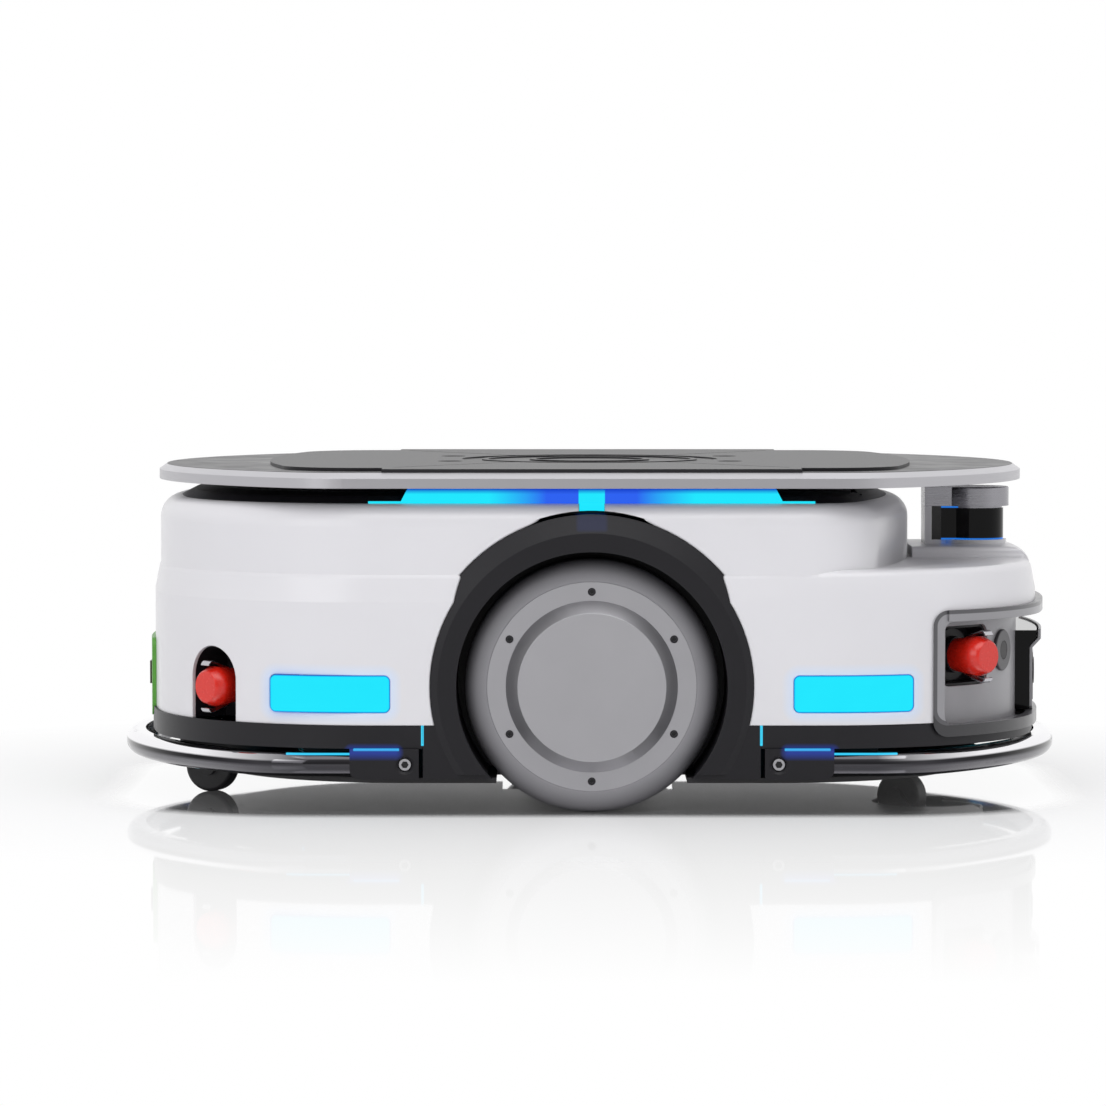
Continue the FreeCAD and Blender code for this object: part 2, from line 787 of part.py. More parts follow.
def deck():
    rim = top_round + fit_gap

    def dome(drop):
        steps = ((rim, shell_top_z), (rim + deck_bend, deck_bend_z), (rim + deck_slope, deck_top_z))
        wires = [cabin_outline(z - drop, inset) for inset, z in steps]
        return Part.makeLoft(wires, True, True)

    edge = slab(cabin_outline(0, rim), deck_edge_z, shell_top_z)
    ledge = slab(cabin_outline(0, rim - deck_ledge_width), deck_edge_z, deck_edge_z + deck_ledge)
    under = slab(cabin_outline(0, rim + deck_plate), deck_edge_z - deck_plate, shell_top_z - deck_plate)
    under = fused(under, dome(deck_plate).common(slab(cabin_outline(0, rim + deck_plate), 0, plate_z)))
    well_wall = box(-well_x - deck_floor, well_x + deck_floor, -well_y - deck_floor, well_y + deck_floor,
                    deck_floor_z, deck_top_z - deck_floor)
    well = box(-well_x, well_x, -well_y, well_y, deck_floor_z + deck_floor, plate_z)
    solid = fused(edge, ledge, dome(0)).cut(under).fuse(well_wall).cut(well)
    slots = [box(-bar_light_line_x - fit_gap, bar_light_line_x + fit_gap, y0, y1, shell_top_z, plate_z)
             for y0, y1 in ((light_slot_y, side_y), (-side_y, -light_slot_y))]
    slots += [box(-stub_light_x - fit_gap, stub_light_x + fit_gap, y0, y1, deck_edge_z, plate_z)
              for y0, y1 in ((light_slot_y, side_y), (-side_y, -light_slot_y))]
    holes = [rod(post_radius + slide_gap, (x, y, deck_floor_z - 1), (0, 0, 1), deck_plate * 2)
             for x, y in post_places]
    holes.append(rod(spindle_radius + slide_gap, (0, 0, deck_floor_z - 1), (0, 0, 1), deck_plate * 2))
    return solid.cut(slots + holes).removeSplitter()


write("top_deck", deck())


# Laser scanner on the pedestal
def scanner():
    base_top = pedestal_z + scanner_base
    window_top = base_top + scanner_window
    cap_foot = window_top + scanner_neck
    cap_top = cap_foot + scanner_cap
    up = (0, 0, 1)
    base = rod(scanner_base_radius, (scanner_x, 0, pedestal_z), up, scanner_base)
    window = rod(scanner_window_radius, (scanner_x, 0, base_top), up, scanner_window)
    neck = rod(scanner_window_radius - 1, (scanner_x, 0, window_top), up, scanner_neck)
    cap = rod(scanner_cap_radius, (scanner_x, 0, cap_foot), up, scanner_cap)
    cap = cap.makeFillet(1.2, edges_at(cap, cap_top))
    back_x1 = scanner_back_x + scanner_back
    back = box(scanner_back_x, back_x1, -scanner_back_half_y, scanner_back_half_y, pedestal_z, cap_top)
    bridge = box(back_x1 - 1, scanner_x, -scanner_back_half_y / 2, scanner_back_half_y / 2, cap_foot, cap_top)
    bridge = bridge.fuse(box(back_x1 - 1, scanner_x, -scanner_back_half_y / 2, scanner_back_half_y / 2,
                             pedestal_z, base_top))
    body = fused(base, back, bridge.common(rod(2 * scanner_cap_radius, (scanner_x, 0, pedestal_z), up, 99)))
    cap_whole = fused(cap, neck)
    return body.cut(cap_whole), window, cap_whole


scanner_body, scanner_glass, scanner_head = scanner()
write("scanner_base", scanner_body)
write("scanner_window", scanner_glass)
write("scanner_cap", scanner_head)


# Camera pod and power button in the bay
pod_z0 = low_bezel_z + bezel_bar + fit_gap
pod_z1 = pod_top_z
pod_tip = (pod_front_x, end_bow, end_corner)


def pod_slab(inset, z0, z1):
    return slab(outline(pod_tip, low_tail, side_y, 0, inset), z0, z1)


pod_space = box(pod_front_x - end_corner, pod_front_x + 1, -pod_half_y, pod_half_y, pod_z0, pod_z1)
pod_body = pod_slab(0, pod_z0, pod_z1).common(pod_space).cut(slab(low_outline(0, bay_depth), 0, waist_z))
pod_edges = [e for e in pod_body.Edges
             if e.BoundBox.YLength > pod_half_y and e.BoundBox.XMax > nose_x]
pod_body = pod_body.makeFillet(pod_round, pod_edges)
glass_space = box(pod_front_x - end_corner, pod_front_x + 1, pod_frame - pod_half_y, pod_half_y - pod_frame,
                  pod_z0 + pod_round, pod_z1 - pod_round)
glass_pocket = glass_space.cut(pod_slab(pod_window_depth, 0, waist_z))
pod_glass = pod_slab(hole_gap, pod_z0, pod_z1).common(glass_space).cut(pod_slab(pod_window_depth, 0, waist_z))
pod_mid_z = (pod_z0 + pod_z1) / 2
lens_holes = [rod(lens_radius, (pod_front_x - bay_depth, y, pod_mid_z), (1, 0, 0), end_corner) for y in lens_y]
lens_back_x = pod_front_x - pod_window_depth - lens_depth
lenses = [rod(lens_radius - hole_gap, (lens_back_x, y, pod_mid_z), (1, 0, 0), lens_depth) for y in lens_y]
lens_pockets = [rod(lens_radius, (lens_back_x, y, pod_mid_z), (1, 0, 0), end_corner) for y in lens_y]
write("camera_pod", pod_body.cut(glass_pocket).cut(lens_pockets))
write("camera_window", pod_glass.cut(lens_holes))
write("camera_lenses", *lenses)

power_x, power_y, _ = corner_place(power_turn, nose_x, bay_depth, power_z)
ring = rod(power_ring_radius, (0, 0, 0), (1, 0, 0), power_ring)
ring = ring.makeFillet(power_ring / 2, [e for e in ring.Edges if e.BoundBox.XMin > power_ring - 0.01])
barrel = rod(power_barrel_radius, (-bay_plate - power_button_length, 0, 0), (1, 0, 0),
             power_button_length + bay_plate)
button_hole = rod(power_button_radius + running_gap, (-power_button_length - power_travel, 0, 0), (1, 0, 0), 99)
button = rod(power_button_radius, (power_ring - power_button_length, 0, 0), (1, 0, 0), power_button_length)
button = button.makeFillet(0.8, [e for e in button.Edges if e.BoundBox.XMin > power_ring - 0.01])
power_place = (power_x, -power_y, power_z)
write("power_button_ring", turned(fused(ring, barrel).cut(button_hole), -power_turn, power_place))
write("power_button", turned(button, -power_turn, power_place))


# Drive wheels: tyre, rim, cover and screws, on a fixed axle with the motor inside
def drive_wheel():
    across = (0, 1, 0)
    centre = (0, 0, wheel_z)
    inner_y = tyre_wall_y - tyre_width
    face_y = tyre_wall_y
    tyre = rod(wheel_radius, (0, inner_y, wheel_z), across, tyre_width)
    rims = [e for e in tyre.Edges if e.BoundBox.YLength < 0.01]
    tyre = tyre.makeFillet(tyre_shoulder, rims)
    tyre = tyre.cut(rod(rim_radius, (0, inner_y, wheel_z), across, tyre_width))
    disc_y = face_y - rim_disc
    drum_radius = rim_radius - rim_drum
    bore = axle_radius + running_gap
    rim = revolved([
        (bore, disc_y - rim_boss), (rim_boss_radius, disc_y - rim_boss), (rim_boss_radius, disc_y),
        (drum_radius, disc_y), (drum_radius, inner_y), (rim_radius, inner_y),
        (rim_radius, face_y), (bore, face_y),
    ], centre, across)
    spots = [
        (hub_screw_circle * math.sin(turn), hub_screw_circle * math.cos(turn) + wheel_z)
        for turn in [2 * math.pi * i / hub_screw_count for i in range(hub_screw_count)]
    ]
    holes = [rod(hub_screw_head, (x, face_y - hub_screw_length, z), across, 99) for x, z in spots]
    screws = [cap_screw((x, face_y - hub_screw_recess, z), across, hub_screw_head - fit_gap,
                        hub_screw_length - hub_screw_recess) for x, z in spots]
    cover = revolved([
        (0, cover_face_y), (cover_face_radius, cover_face_y), (cover_radius, face_y),
        (cover_radius - cover_skin, face_y), (cover_face_radius - cover_skin, cover_face_y - cover_skin),
        (0, cover_face_y - cover_skin),
    ], centre, across)
    return tyre, rim.cut(holes), cover, screws


def cap_screw(place, axis, radius, length):
    """A socket screw whose head faces axis at place, with a six-sided socket."""
    x, y, z = place
    shank = rod(radius, (x - axis[0] * length, y - axis[1] * length, z), axis, length)
    hexagon = [(radius * 0.5 * math.cos(math.pi * i / 3), radius * 0.5 * math.sin(math.pi * i / 3), 0)
               for i in range(6)]
    socket = polygon(hexagon).extrude(FreeCAD.Vector(0, 0, -radius * 0.7))
    turn = FreeCAD.Rotation(FreeCAD.Vector(0, 0, 1), FreeCAD.Vector(*axis))
    socket.Placement = FreeCAD.Placement(FreeCAD.Vector(x, y, z), turn)
    return shank.cut(socket)


tyre, rim, cover, hub_screws = drive_wheel()
for side, sign in (("left", 1), ("right", -1)):
    def sided(shape):
        return shape if sign > 0 else mirrored(shape, y=1)
    write("tyre_" + side, sided(tyre))
    write("wheel_rim_" + side, sided(rim))
    write("hub_cover_" + side, sided(cover))
    write("hub_screws_" + side, *[sided(screw) for screw in hub_screws])

bracket_plate_y = rail_y + rail_plate
axle_tip_y = tyre_wall_y - axle_end_gap
stator_y = tyre_wall_y - rim_disc - stator_gap - stator_width
axle = rod(axle_radius, (0, bracket_plate_y, wheel_z), (0, 1, 0), axle_tip_y - bracket_plate_y)
hub_motor = fused(axle, rod(stator_radius, (0, stator_y, wheel_z), (0, 1, 0), stator_width))
motor_bracket = box(-motor_plate_half_x, motor_plate_half_x, bracket_plate_y, bracket_plate_y + motor_plate,
                    tray_top_z, wheel_z + motor_plate_top).cut(axle)
write("hub_motors", hub_motor, mirrored(hub_motor, y=1))
write("motor_brackets", motor_bracket, mirrored(motor_bracket, y=1))


# Lift: plate, raised pad, frame, posts and spindle
def plate_outline(z, inset=0.0):
    ends = (plate_end_x, plate_bow, plate_corner)
    return outline(ends, ends, plate_side_y, z, inset)


bevel_z = plate_z + plate_edge
pad_hole_places = [(x, y) for x in (-pad_hole_x, pad_hole_x) for y in (-pad_hole_y, pad_hole_y)]
pad_z = plate_top_z + pad_height


def lift_plate():
    rim = slab(plate_outline(0), plate_z, bevel_z)
    bevel = Part.makeLoft([plate_outline(bevel_z), plate_outline(plate_top_z, plate_bevel_run)], True, True)
    pocket = slab(plate_outline(0, plate_rim), plate_z, plate_top_z - plate_skin)
    holes = [rod(plate_hole_radius, (x, y, plate_z), (0, 0, 1), plate_top_z) for x, y in pad_hole_places]
    return fused(rim, bevel).cut([pocket] + holes)


def lift_pad():
    ends = (pad_half_x, pad_bow, pad_corner)
    board = slab(outline(ends, ends, pad_half_y, 0), plate_top_z, pad_z)
    band_y = plate_side_y - plate_bevel_run
    board = fused(board, box(-pad_band_x, pad_band_x, -band_y, band_y, plate_top_z, pad_z))
    up = (0, 0, 1)
    floor_z = pad_z - pad_ring_depth
    hub = rod(pad_hub_radius, (0, 0, floor_z), up, pad_height)
    grooves = []
    for x, y in [(x, y) for x in (-pad_band_x, pad_band_x) for y in (-pad_half_y, pad_half_y)]:
        reach = math.hypot(x, y) - groove_end
        groove = box(pad_hub_radius - groove_width, reach, -groove_width / 2, groove_width / 2, pad_z - groove_depth, pad_z + 1)
        grooves.append(turned(groove, math.degrees(math.atan2(y, x)), (0, 0, 0)))
    holes = [rod(pad_hole_radius, (x, y, plate_top_z), up, pad_height) for x, y in pad_hole_places]
    board = board.cut([hub] + grooves + holes)
    rings = [
        rod(radius, (0, 0, floor_z), up, pad_ring_depth).cut(
            rod(radius - pad_ring_width, (0, 0, floor_z), up, pad_ring_depth))
        for radius in pad_ring_radii
    ]
    return fused(board, *rings)


def lift_frame():
    """A flat grid of bars, with a hub for the spindle and a boss for each post."""
    top_z = plate_top_z - plate_skin
    half_bar = frame_bar / 2
    reach_x = frame_half_x - half_bar
    reach_y = frame_half_y - half_bar
    across = [-reach_x + 2 * reach_x * i / (frame_bars_x - 1) for i in range(frame_bars_x)]
    along = [-reach_y + 2 * reach_y * i / (frame_bars_y - 1) for i in range(frame_bars_y)]
    bars = [box(x - half_bar, x + half_bar, -frame_half_y, frame_half_y, frame_z, top_z) for x in across]
    bars += [box(-frame_half_x, frame_half_x, y - half_bar, y + half_bar, frame_z, top_z) for y in along]
    bosses = [rod(post_radius * 2, (x, y, frame_z), (0, 0, 1), top_z - frame_z) for x, y in post_places]
    hub = rod(frame_hub_radius, (0, 0, frame_z), (0, 0, 1), top_z - frame_z)
    screw_space = [rod(pad_hole_radius, (x, y, frame_z), (0, 0, 1), plate_z) for x, y in pad_hole_places]
    return fused(hub, *bars, *bosses).cut(screw_space)


write("lift_plate", lift_plate())
write("lift_pad", lift_pad())
write("lift_frame", lift_frame())
write("guide_posts", *[rod(post_radius, (x, y, post_foot_z), (0, 0, 1), frame_z - post_foot_z)
                       for x, y in post_places])
write("lift_spindle", rod(spindle_radius, (0, 0, spindle_foot_z), (0, 0, 1), frame_z - spindle_foot_z))


def tube(x, y, radius, bore, top_z):
    shell = rod(radius, (x, y, tray_top_z), (0, 0, 1), top_z - tray_top_z)
    return shell.cut(rod(bore, (x, y, tray_top_z + tube_wall), (0, 0, 1), top_z))


tube_radius = post_radius + tube_wall
write("guide_tubes", *[tube(x, y, tube_radius, post_radius + running_gap, tube_top_z) for x, y in post_places])
write("lift_column", tube(0, 0, column_radius, spindle_radius + running_gap, column_top_z))
write("lift_motor", rod(lift_motor_radius, (lift_motor_x, 0, tray_top_z), (0, 0, 1), lift_motor_height))


# Bumpers and their brackets
bumper_ends = (bumper_tip_x, bumper_bow, bumper_corner)


def bumper_slab(inset, z0, z1):
    return slab(outline(bumper_ends, bumper_ends, bumper_side_y, 0, inset), z0, z1)


def bumper():
    bar = bumper_slab(0, bumper_z, bumper_top_z)
    bar = bar.makeFillet(bumper_round, edges_at(bar, bumper_z) + edges_at(bar, bumper_top_z))
    bar = bar.cut(bumper_slab(bumper_depth, 0, plate_z))
    bar = bar.common(box(bumper_end_x, bumper_tip_x, -bumper_side_y, bumper_side_y, 0, plate_z))
    web = bumper_slab(bumper_depth, bumper_web_z, bumper_web_z + bumper_web_plate)
    web = web.cut(bumper_slab(bumper_depth + bumper_web, 0, plate_z))
    web = web.common(box(bumper_web_x, bumper_tip_x, -bumper_side_y, bumper_side_y, 0, plate_z))
    return fused(bar, web)


front_bumper = bumper()
write("front_bumper", front_bumper)
write("rear_bumper", mirrored(front_bumper, x=1))


def bumper_bracket():
    inner_y = bracket_y - bracket_depth
    block = box(bracket_x0, bracket_x1, inner_y, bracket_y, tray_top_z, skirt_z)
    lower_edge = [e for e in block.Edges
                  if e.BoundBox.XMin > bracket_x1 - 0.01 and e.BoundBox.ZMax < tray_top_z + 0.01]
    block = block.makeFillet(bracket_round, lower_edge)
    stop_x = bumper_end_x - bumper_travel - bracket_stop
    channel = box(stop_x, bumper_tip_x, bumper_side_y - bumper_depth - slide_gap, bumper_side_y + slide_gap,
                  0, bumper_top_z + slide_gap)
    screw_hole = rod(bracket_screw_head + fit_gap, (bracket_screw_x, bracket_y - bracket_screw_length,
                                                    bracket_screw_z), (0, 1, 0), bracket_screw_length)
    mouth = Part.makeCone(bracket_screw_head + fit_gap, bracket_screw_head + fit_gap + bracket_screw_recess,
                          bracket_screw_recess, FreeCAD.Vector(bracket_screw_x, bracket_y - bracket_screw_recess,
                                                               bracket_screw_z), FreeCAD.Vector(0, 1, 0))
    screw = cap_screw((bracket_screw_x, bracket_y - bracket_screw_recess, bracket_screw_z), (0, 1, 0),
                      bracket_screw_head, bracket_screw_length - bracket_screw_recess)
    return block.cut([channel, screw_hole, mouth]), screw


def four_quarters(shape):
    pair = [shape, mirrored(shape, y=1)]
    return pair + [mirrored(one, x=1) for one in pair]


bracket, bracket_screw = bumper_bracket()
write("bumper_brackets", *four_quarters(bracket))
write("bracket_screws", *four_quarters(bracket_screw))


# Casters: cup and bearing housing on the tray, swivelling fork, wheel
def caster_cup(x, y):
    up = (0, 0, 1)
    outer = caster_cup_radius + caster_cup_wall
    cup = rod(outer, (x, y, tray_top_z), up, caster_cup_z + caster_cup_plate - tray_top_z)
    cup = cup.cut(rod(caster_cup_radius, (x, y, tray_top_z), up, caster_cup_z - tray_top_z))
    housing = rod(caster_housing_radius, (x, y, caster_cup_z), up, caster_cup_plate + caster_housing)
    return fused(cup, housing).cut(rod(caster_stem + running_gap, (x, y, 0), up, plate_z))


def caster_fork():
    """Built with its pivot on the Z axis and the wheel behind it, towards -X."""
    up = (0, 0, 1)
    crown = rod(caster_crown_radius, (0, 0, caster_crown_z), up, caster_crown)
    boss_foot = caster_crown_z + caster_crown
    boss = rod(caster_boss_radius, (0, 0, boss_foot), up, caster_cup_z - boss_foot - fit_gap)
    stem = rod(caster_stem, (0, 0, boss_foot), up, caster_stem_top_z - boss_foot)
    arm_y = caster_width / 2 + caster_fork_gap
    lobe = caster_axle * 2.3
    arm = polygon([
        (10, arm_y, caster_crown_z + 1),
        (-13, arm_y, caster_crown_z + 1),
        (-caster_trail - lobe, arm_y, caster_radius + 1),
        (-caster_trail + lobe * 0.6, arm_y, caster_radius - lobe * 0.7),
    ]).extrude(FreeCAD.Vector(0, caster_fork_plate, 0))
    arm = arm.fuse(rod(lobe, (-caster_trail, arm_y, caster_radius), (0, 1, 0), caster_fork_plate))
    axle = rod(caster_axle, (-caster_trail, -arm_y - caster_fork_plate, caster_radius), (0, 1, 0),
               2 * (arm_y + caster_fork_plate))
    return fused(crown, boss, stem, arm, mirrored(arm, y=1), axle)


def caster_wheel():
    half = caster_width / 2
    wheel = rod(caster_radius, (-caster_trail, -half, caster_radius), (0, 1, 0), caster_width)
    wheel = wheel.makeFillet(3.5, [e for e in wheel.Edges if e.BoundBox.YLength < 0.01])
    return wheel.cut(rod(caster_axle + running_gap, (-caster_trail, -half, caster_radius), (0, 1, 0), 99))


cups = []
for end, x, y, turn in caster_pivots:
    cups.append(caster_cup(x, y))
    write("caster_fork_" + end, turned(caster_fork(), turn, (x, y, 0)))
    write("caster_wheel_" + end, turned(caster_wheel(), turn, (x, y, 0)))
write("caster_cups", *cups)


# Chassis tray with its rails and cross plates
def chassis_tray():
    ends = (tray_end_x, tray_bow, tray_corner)
    plate = slab(outline(ends, ends, tray_side_y, 0), tray_z, tray_top_z)
    slots = [box(-tray_slot_x, tray_slot_x, y0, y1, 0, plate_z)
             for y0, y1 in ((tray_slot_y, side_y), (-side_y, -tray_slot_y))]
    wells = [rod(caster_cup_radius, (x, y, 0), (0, 0, 1), plate_z) for _, x, y, _ in caster_pivots]
    return plate.cut(slots + wells)


def chassis_frame():
    rail_top_z = tray_top_z + rail_height
    rail = box(-rail_end_x, rail_end_x, rail_y, rail_y + rail_plate, tray_top_z, rail_top_z)
    middle_z = (tray_top_z + rail_top_z) / 2
    rail = rail.cut([rod(rail_hole, (x, rail_y - 1, middle_z), (0, 1, 0), rail_plate + 2) for x in rail_hole_x])
    ends = [box(x, x + rail_plate, -rail_y, rail_y, tray_top_z, rail_top_z)
            for x in (-rail_end_x, rail_end_x - rail_plate)]
    return fused(rail, mirrored(rail, y=1), *ends)


write("chassis_tray", chassis_tray())
write("chassis_frame", chassis_frame())


# Battery, computer and motor drives on the tray
def battery():
    x0, x1 = battery_x
    top_z = tray_top_z + battery_height
    case = box(x0, x1, -battery_half_y, battery_half_y, tray_top_z, top_z - battery_lid)
    case = case.makeFillet(4.0, [e for e in case.Edges if e.BoundBox.ZLength > battery_lid])
    lid = box(x0 - 2, x1 + 2, -battery_half_y - 2, battery_half_y + 2, top_z - battery_lid, top_z)
    return fused(case, lid)


def controller():
    x0, x1 = controller_x
    top_z = tray_top_z + controller_height
    case = box(x0, x1, -controller_half_y, controller_half_y, tray_top_z, top_z)
    count = int(2 * controller_half_y / controller_fin_pitch)
    fins = [box(x0, x1, y, y + controller_fin, top_z, top_z + controller_fin_height)
            for y in [-controller_half_y + i * controller_fin_pitch for i in range(count)]]
    return fused(case, *fins)


drive_box = box(*drive_box_x, *drive_box_y, tray_top_z, tray_top_z + drive_box_height)
write("battery_pack", battery())
write("controller_box", controller())
write("motor_drives", drive_box, mirrored(drive_box, y=1))
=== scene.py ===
import bmesh
import bpy
import json
import math
from mathutils import Matrix, Vector


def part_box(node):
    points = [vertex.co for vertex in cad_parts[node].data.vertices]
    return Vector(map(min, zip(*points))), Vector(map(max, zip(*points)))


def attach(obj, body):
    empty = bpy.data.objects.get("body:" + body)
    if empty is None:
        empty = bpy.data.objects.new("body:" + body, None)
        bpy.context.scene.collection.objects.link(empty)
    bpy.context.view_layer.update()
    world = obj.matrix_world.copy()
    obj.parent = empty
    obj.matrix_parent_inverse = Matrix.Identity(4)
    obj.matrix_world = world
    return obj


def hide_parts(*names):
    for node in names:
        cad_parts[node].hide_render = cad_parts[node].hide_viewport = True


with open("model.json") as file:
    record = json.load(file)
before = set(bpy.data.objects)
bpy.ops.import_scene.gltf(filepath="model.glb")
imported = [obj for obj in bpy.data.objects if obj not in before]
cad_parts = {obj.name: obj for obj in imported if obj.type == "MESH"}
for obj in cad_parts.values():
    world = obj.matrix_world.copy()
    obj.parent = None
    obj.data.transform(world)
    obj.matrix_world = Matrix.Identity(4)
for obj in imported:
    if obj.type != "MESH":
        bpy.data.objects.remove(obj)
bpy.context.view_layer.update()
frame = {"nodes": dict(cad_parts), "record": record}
cadNodes = frame["nodes"]
mm = 0.001
print("frame loaded:", len(cadNodes), "nodes")


def linearChannel(value):
    return value / 12.92 if value <= 0.04045 else ((value + 0.055) / 1.055) ** 2.4


def colourOf(hexValue):
    parts = [int(hexValue[i:i + 2], 16) / 255 for i in (1, 3, 5)]
    return (*[linearChannel(part) for part in parts], 1.0)


def addNode(tree, kind, settings=None, links=None):
    # settings name a property or a socket, links name the socket that each source feeds
    node = tree.nodes.new(kind)
    for key, value in (settings or {}).items():
        if isinstance(key, str) and hasattr(node, key):
            setattr(node, key, value)
        else:
            node.inputs[key].default_value = value
    for key, source in (links or {}).items():
        tree.links.new(source, node.inputs[key])
    return node


def newMaterial(name, shader):
    # a material with its Principled shader set, ready for its pattern
    material = bpy.data.materials.new(name)
    material.use_nodes = True
    tree = material.node_tree
    tree.nodes.clear()
    body = addNode(tree, "ShaderNodeBsdfPrincipled", shader)
    addNode(tree, "ShaderNodeOutputMaterial", {}, {"Surface": body.outputs["BSDF"]})
    place = addNode(tree, "ShaderNodeTexCoord").outputs["Object"]
    return material, tree, body, place


def grainField(tree, place, grain, detail=2.0, stretch=(1, 1, 1)):
    # noise whose cells are grain millimetres across; a stretch above 1 squeezes them along that axis
    scaled = addNode(tree, "ShaderNodeMapping", {"Scale": stretch}, {"Vector": place})
    noise = addNode(tree, "ShaderNodeTexNoise", {"Scale": 1 / (grain * mm), "Detail": detail},
                    {"Vector": scaled.outputs["Vector"]})
    return noise.outputs["Fac"]


def spread(tree, field, low, high, start=0.3, end=0.7):
    ranged = addNode(tree, "ShaderNodeMapRange", {"From Min": start, "From Max": end, "To Min": low,
                                                  "To Max": high}, {"Value": field})
    return ranged.outputs["Result"]


def blendColours(tree, field, first, second):
    # either colour may be a value or a socket
    mix = addNode(tree, "ShaderNodeMix", {"data_type": "RGBA"}, {"Factor": field})
    for place, colour in ((6, first), (7, second)):
        if isinstance(colour, tuple):
            mix.inputs[place].default_value = colour
        else:
            tree.links.new(colour, mix.inputs[place])
    return mix.outputs[2]


def addBump(tree, body, height, distance, strength=1.0, normal=None):
    bump = addNode(tree, "ShaderNodeBump", {"Strength": strength, "Distance": distance * mm},
                   {"Height": height})
    if normal:
        tree.links.new(normal, bump.inputs["Normal"])
    tree.links.new(bump.outputs["Normal"], body.inputs["Normal"])
    return bump


def softEdges(tree, radius):
    # the broken edge of a moulding or a machined part, in millimetres
    return addNode(tree, "ShaderNodeBevel", {"samples": 4, "Radius": radius * mm}).outputs["Normal"]


def connect(tree, source, body, socket):
    tree.links.new(source, body.inputs[socket])


def panelDistance(tree, place, centre, half, radius):
    # signed distance, in metres, from a rounded rectangle in X and Z, the same on both ends and both sides
    mirrored = addNode(tree, "ShaderNodeVectorMath", {"operation": "ABSOLUTE"}, {0: place}).outputs[0]
    moved = addNode(tree, "ShaderNodeVectorMath", {"operation": "SUBTRACT",
                                                   1: (centre[0] * mm, 0, centre[1] * mm)}, {0: mirrored})
    folded = addNode(tree, "ShaderNodeVectorMath", {"operation": "ABSOLUTE"}, {0: moved.outputs[0]})
    flat = addNode(tree, "ShaderNodeVectorMath", {"operation": "MULTIPLY", 1: (1, 0, 1)},
                   {0: folded.outputs[0]})
    inner = ((half[0] - radius) * mm, 0, (half[1] - radius) * mm)
    past = addNode(tree, "ShaderNodeVectorMath", {"operation": "SUBTRACT", 1: inner}, {0: flat.outputs[0]})
    corner = addNode(tree, "ShaderNodeVectorMath", {"operation": "MAXIMUM", 1: (0, 0, 0)},
                     {0: past.outputs[0]})
    outside = addNode(tree, "ShaderNodeVectorMath", {"operation": "LENGTH"}, {0: corner.outputs[0]})
    axes = addNode(tree, "ShaderNodeSeparateXYZ", {}, {0: past.outputs[0]}).outputs
    widest = addNode(tree, "ShaderNodeMath", {"operation": "MAXIMUM"}, {0: axes[0], 1: axes[2]})
    inside = addNode(tree, "ShaderNodeMath", {"operation": "MINIMUM", 1: 0.0}, {0: widest.outputs[0]})
    total = addNode(tree, "ShaderNodeMath", {"operation": "ADD"}, {0: outside.outputs["Value"],
                                                                   1: inside.outputs[0]})
    return addNode(tree, "ShaderNodeMath", {"operation": "SUBTRACT", 1: radius * mm},
                   {0: total.outputs[0]}).outputs[0]


def axisField(tree, place, axis, start, end, mirror=False):
    # 0 to 1 between two places along an axis, in millimetres
    if mirror:
        place = addNode(tree, "ShaderNodeVectorMath", {"operation": "ABSOLUTE"}, {0: place}).outputs[0]
    along = addNode(tree, "ShaderNodeSeparateXYZ", {}, {0: place}).outputs[axis]
    return spread(tree, along, 0.0, 1.0, start * mm, end * mm)


def wheelRadius(tree, place):
    # distance from the axle line
    moved = addNode(tree, "ShaderNodeVectorMath", {"operation": "SUBTRACT", 1: (0, 0, wheel["axle"] * mm)},
                    {0: place})
    flat = addNode(tree, "ShaderNodeVectorMath", {"operation": "MULTIPLY", 1: (1, 0, 1)},
                   {0: moved.outputs[0]})
    radius = addNode(tree, "ShaderNodeVectorMath", {"operation": "LENGTH"}, {0: flat.outputs[0]})
    return radius.outputs["Value"]


# Lit panels in the side walls: middle and half size in X and Z, corner, and how far their light spills as a
# painted glow on the white paint
sideLight = {"centre": (197.1, 91), "half": (45.5, 14), "corner": 4.5, "spill": 9.0}
wheel = {"axle": 96, "tread": 96, "wall": 79, "coverFace": 55.9}
bezel = {"centre": (435, 109), "half": (177, 43.6), "corner": 12, "bevel": 2.8}
plate = {"edgeTop": 253.1, "top": 257.3}

# Two-pack white paint on moulded ABS: an even gloss with a barely seen orange peel; spill is a pale blue glow
# painted round the lit panels, a painted light
whitePaint = {"colour": "#DFDEE2", "shade": "#D9D8DC", "spill": "#D0DEF4", "roughness": (0.3, 0.36),
              "peel": 6.0, "depth": 0.004}


def makeWhitePaint():
    spec = whitePaint
    material, tree, body, place = newMaterial("white_two_pack_paint", {
        "Metallic": 0.0, "IOR": 1.5, "Coat Weight": 0.2, "Coat Roughness": 0.12})
    cloud = grainField(tree, place, 120)
    peel = grainField(tree, place, spec["peel"])
    paint = blendColours(tree, cloud, colourOf(spec["colour"]), colourOf(spec["shade"]))
    # painted light: the paint is tinted pale blue near the lit panels as if their light fell on it
    away = panelDistance(tree, place, sideLight["centre"], sideLight["half"], sideLight["corner"])
    glow = spread(tree, away, 1.0, 0.0, 0.0, sideLight["spill"] * mm)
    connect(tree, blendColours(tree, glow, paint, colourOf(spec["spill"])), body, "Base Color")
    connect(tree, spread(tree, peel, *spec["roughness"]), body, "Roughness")
    addBump(tree, body, peel, spec["depth"], 0.4, softEdges(tree, 1.2))
    return material
